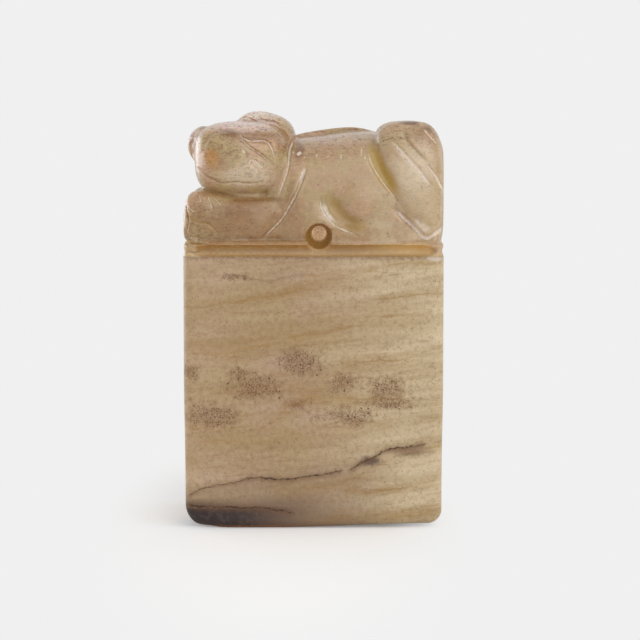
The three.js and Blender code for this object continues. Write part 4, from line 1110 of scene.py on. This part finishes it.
# %% Hollows, threads, the groove round the foot and the cord hole
def carving_and_painted_light(g):
    """Colours of the carving: painted shade and glow in its hollows, channels and groove, painted
    highlights on its edges, and the pale threads and glints of its lines. It returns where the
    threads and painted glints are, and the painted glow of light that comes through the stone
    into the cord hole."""
    hollow, pale_and_glint, ochre_glow = (
        g.node("Attribute", output="Fac", attribute_name=name)
        for name in ("hollow", "pale_and_glint", "ochre_glow")
    )
    height = g.z + g.jitter - LEDGE
    corner = HALF_X + HALF_Y - abs(g.x) - abs(g.y)
    flute = g.step(0.1, 0.9, height) * g.step(2.3, 1.7, height) * g.step(1.4, 3.2, corner)
    foot_top = g.step(1.1, 0.2, abs(height - 3.0))
    # Painted shade and glow: hollows are coloured a darker ochre, as light coming through the thinner stone
    # colours them.
    hollow_shade_and_glow = 0.7 * g.step(0.008, 0.08, hollow) * (1 - 0.8 * foot_top)
    g.lay(hollow_shade_and_glow, 160, 116, 56)
    # Painted shade and glow: the groove round the foot is coloured ochre-brown, as shade and light through
    # the thin stone colour it, paler towards the tail end.
    pale_end = g.step(5.0, 15.0, g.x) * g.step(HALF_X - 0.8, HALF_X - 2.0, g.x)
    worn = g.mix(pale_end, tone(174, 128, 58), tone(224, 180, 104))
    g.colour = g.mix(flute * 0.7, g.colour, worn)
    # Painted light: the groove's lower part, which faces up, is paler.
    lower = g.step(0.4, 0.1, abs(height - 0.3))
    g.lay(lower * 0.5, 226, 186, 132)
    # Brown lines along the groove's edges, broken by pits: painted shade under the foot's edge, and the dark
    # joint at the ledge.
    pits = g.step(0.7, 0.35, g.noise(g.place, 1.6, 4, 0.8))
    for rise, thickness, strength in ((1.95, 0.35, 0.4), (0.1, 0.4, 0.2)):
        edge = g.step(thickness, 0.05, abs(height - rise))
        g.lay(edge * pits * strength, 116, 74, 38)
    # Painted highlight: the convex edges above the groove are paler.
    corners = g.step(-0.03, -0.10, hollow) * g.step(LEDGE + 2.6, LEDGE + 4.0, g.z)
    g.lay(corners * 0.4, 220, 190, 174)
    # Painted glow: channels are coloured ochre, as light coming through the thinner stone colours them.
    ochre_glow_tone = g.mix(g.step(6.0, 9.0, g.x), tone(168, 130, 54), tone(188, 150, 48))
    g.colour = g.mix(g.step(0.0, 0.9, ochre_glow) * 0.75, g.colour, ochre_glow_tone)
    # Pale threads along the cuts: partly the unpolished cut, partly painted glints of light.
    strokes = g.noise(g.vector("MULTIPLY", g.place, (3.6, 1.0, 1.4)), 1.2, 3, 0.7)
    threads_and_glints = g.step(0.3, 1.05, pale_and_glint * (0.1 + 1.8 * strokes))
    g.lay(threads_and_glints * 0.85, 244, 230, 214)
    reach = (HOLE_MOUTH + 0.5, 1e4, HOLE_MOUTH + 0.5)
    bore = g.step(1.05, 0.95, g.spot(g.place, (HOLE_X, 0, LEDGE + HOLE_RISE + 0.6), reach))
    inside = HALF_Y - abs(g.y)
    g.lay(bore * g.step(0.8, 1.2, inside), 154, 112, 54)
    # Painted glow: deep in the bore the stone gives off light of its own, as light coming through it into the
    # hole would show.
    deep = bore * g.step(2.1, 3.4, inside)
    speckle = g.step(0.4, 0.6, g.noise(g.place, 2.6, 3, 0.7))
    glow = g.mix(speckle, tone(120, 96, 70), tone(168, 149, 124))
    return threads_and_glints, g.mix(deep, BLACK, glow)


# %% Mix the stone
BUMP_STRENGTH, BUMP_DEPTH = 0.6, 0.07
SCATTER_RADII = (3.0, 1.8, 0.8)  # how far red, green and blue light go in the stone


def stone_material(name, base, roughness, scatter, index, carved):
    """The stone from its base tone, its finish, the share of light that enters it and its
    refractive index. Roughness is the finish's own, 0.12 of the mottling and 0.15 of the
    marks; the relief is half of the mottling, less 1.2 of the block's crumbs and cracks."""
    material = bpy.data.materials.new(name)
    material.use_nodes = True
    g = Stone(material.node_tree, base)
    inputs = {"IOR": index, "Subsurface Weight": scatter, "Subsurface Scale": MM}
    inputs["Subsurface Radius"] = SCATTER_RADII
    relief = 0.5 * g.mottle
    if carved:
        clouded(g)
        marked(g)
        textured(g, 0.28)
        marks, inputs["Emission Color"] = carving_and_painted_light(g)
        inputs["Emission Strength"] = 1.0
    else:
        layered(g)
        textured(g, 0.4)
        seamed(g)
        marks = g.larger(0.5 * specked(g), stains_and_painted_light(g))
        relief = relief - 1.2 * marks
    inputs["Base Color"] = g.colour
    inputs["Roughness"] = roughness + 0.12 * g.mottle + 0.15 * marks
    bump = {"Strength": BUMP_STRENGTH, "Distance": BUMP_DEPTH * MM, "Height": relief}
    inputs["Normal"] = g.node("Bump", bump)
    shader = g.node("BsdfPrincipled", inputs, subsurface_method="RANDOM_WALK")
    g.node("OutputMaterial", {"Surface": shader})
    return material


for piece, finish in (
    (beast, ("polished_stone", (198, 162, 126), 0.2, 0.5, 1.6, True)),
    (block, ("ground_stone", (190, 164, 126), 0.32, 0.2, 1.45, False)),
):
    piece.data.materials.clear()
    piece.data.materials.append(stone_material(*finish))


# %% [markdown]
# ## Floor and light
# A pale studio: the floor and the background are one tone, and broad soft lights stand to the
# left, to the right and in front, so that the polish shows as soft patches and not as points.
# What the camera and the polish see of the background is set by its own colour, apart from the
# light that it gives. Round the seal the floor is matt and takes its shadow, with a little
# light of its own that lifts it to the backdrop's tone, and farther off it is the backdrop.

# %% Floor and world
BACKDROP = tone(240, 240, 240)
LIFT = (0.222, 0.222, 0.222, 1)  # the light that the matt floor gives off, for the camera only
SKY = (0.5, 0.5, 0.5, 1)  # the light that the background gives
floor_mesh = bpy.data.meshes.new("floor")
floor_mesh.from_pydata([(-4, -4, 0), (4, -4, 0), (4, 4, 0), (-4, 4, 0)], [], [(0, 1, 2, 3)])
floor = in_scene("floor", floor_mesh)
floor_material = bpy.data.materials.new("floor")
floor_material.use_nodes = True
g = Graph(floor_material.node_tree)
place = g.node("TexCoord", output="Object")
away = g.spot(place, (-0.005, 0, 0), (0.030, 0.120, 1))
seen = g.node("LightPath", output="Is Camera Ray")
matt = g.node("BsdfDiffuse", {"Color": tone(247, 247, 247)})
lift = g.node("Emission", {"Color": g.mix(seen, BLACK, LIFT)})
near = g.node("AddShader", {0: matt, 1: lift})
far = g.node("Emission", {"Color": BACKDROP})
surface = g.node("MixShader", {0: g.step(0.5, 1.0, away) * seen, 1: near, 2: far})
g.node("OutputMaterial", {"Surface": surface})
floor_mesh.materials.append(floor_material)

world = bpy.data.worlds.new("world")
bpy.context.scene.world = world
world.use_nodes = True
g = Graph(world.node_tree)
seen = g.node("LightPath", output="Is Camera Ray")
for ray in ("Is Glossy Ray", "Is Transmission Ray"):
    seen = g.larger(seen, g.node("LightPath", output=ray))
sky = g.mix(seen, SKY, BACKDROP)
background = g.node("Background", {"Color": sky})
g.node("OutputWorld", {"Surface": background})


# %% Lights
def soft_light(name, place, size, power):
    """A rectangular light of a size in metres, turned to the middle of the block's top."""
    data = bpy.data.lights.new(name, "AREA")
    data.shape, data.size, data.size_y, data.energy = "RECTANGLE", size[0], size[1], power
    light = in_scene(name, data)
    light.location = place
    aim = Vector((0, 0, LEDGE * MM)) - Vector(place)
    light.rotation_euler = aim.to_track_quat("-Z", "Y").to_euler()


soft_light("left", (-0.45, 0.22, 0.09), (0.7, 0.2), 1.1)
soft_light("right", (0.42, 0.20, 0.12), (0.2, 0.25), 0.15)
soft_light("front", (0.40, -0.65, 0.45), (1.2, 1.0), 3.8)
bpy.context.scene.view_settings.view_transform = "Standard"

# %% [markdown]
# ## Hand over
# Both pieces ride on the seal's one body and stand for the imported model's two nodes.

# %% Bodies, and the imported nodes hidden
for piece, node in ((block, "seal_block"), (beast, "beast_knob")):
    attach(piece, "root")
    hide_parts(node)
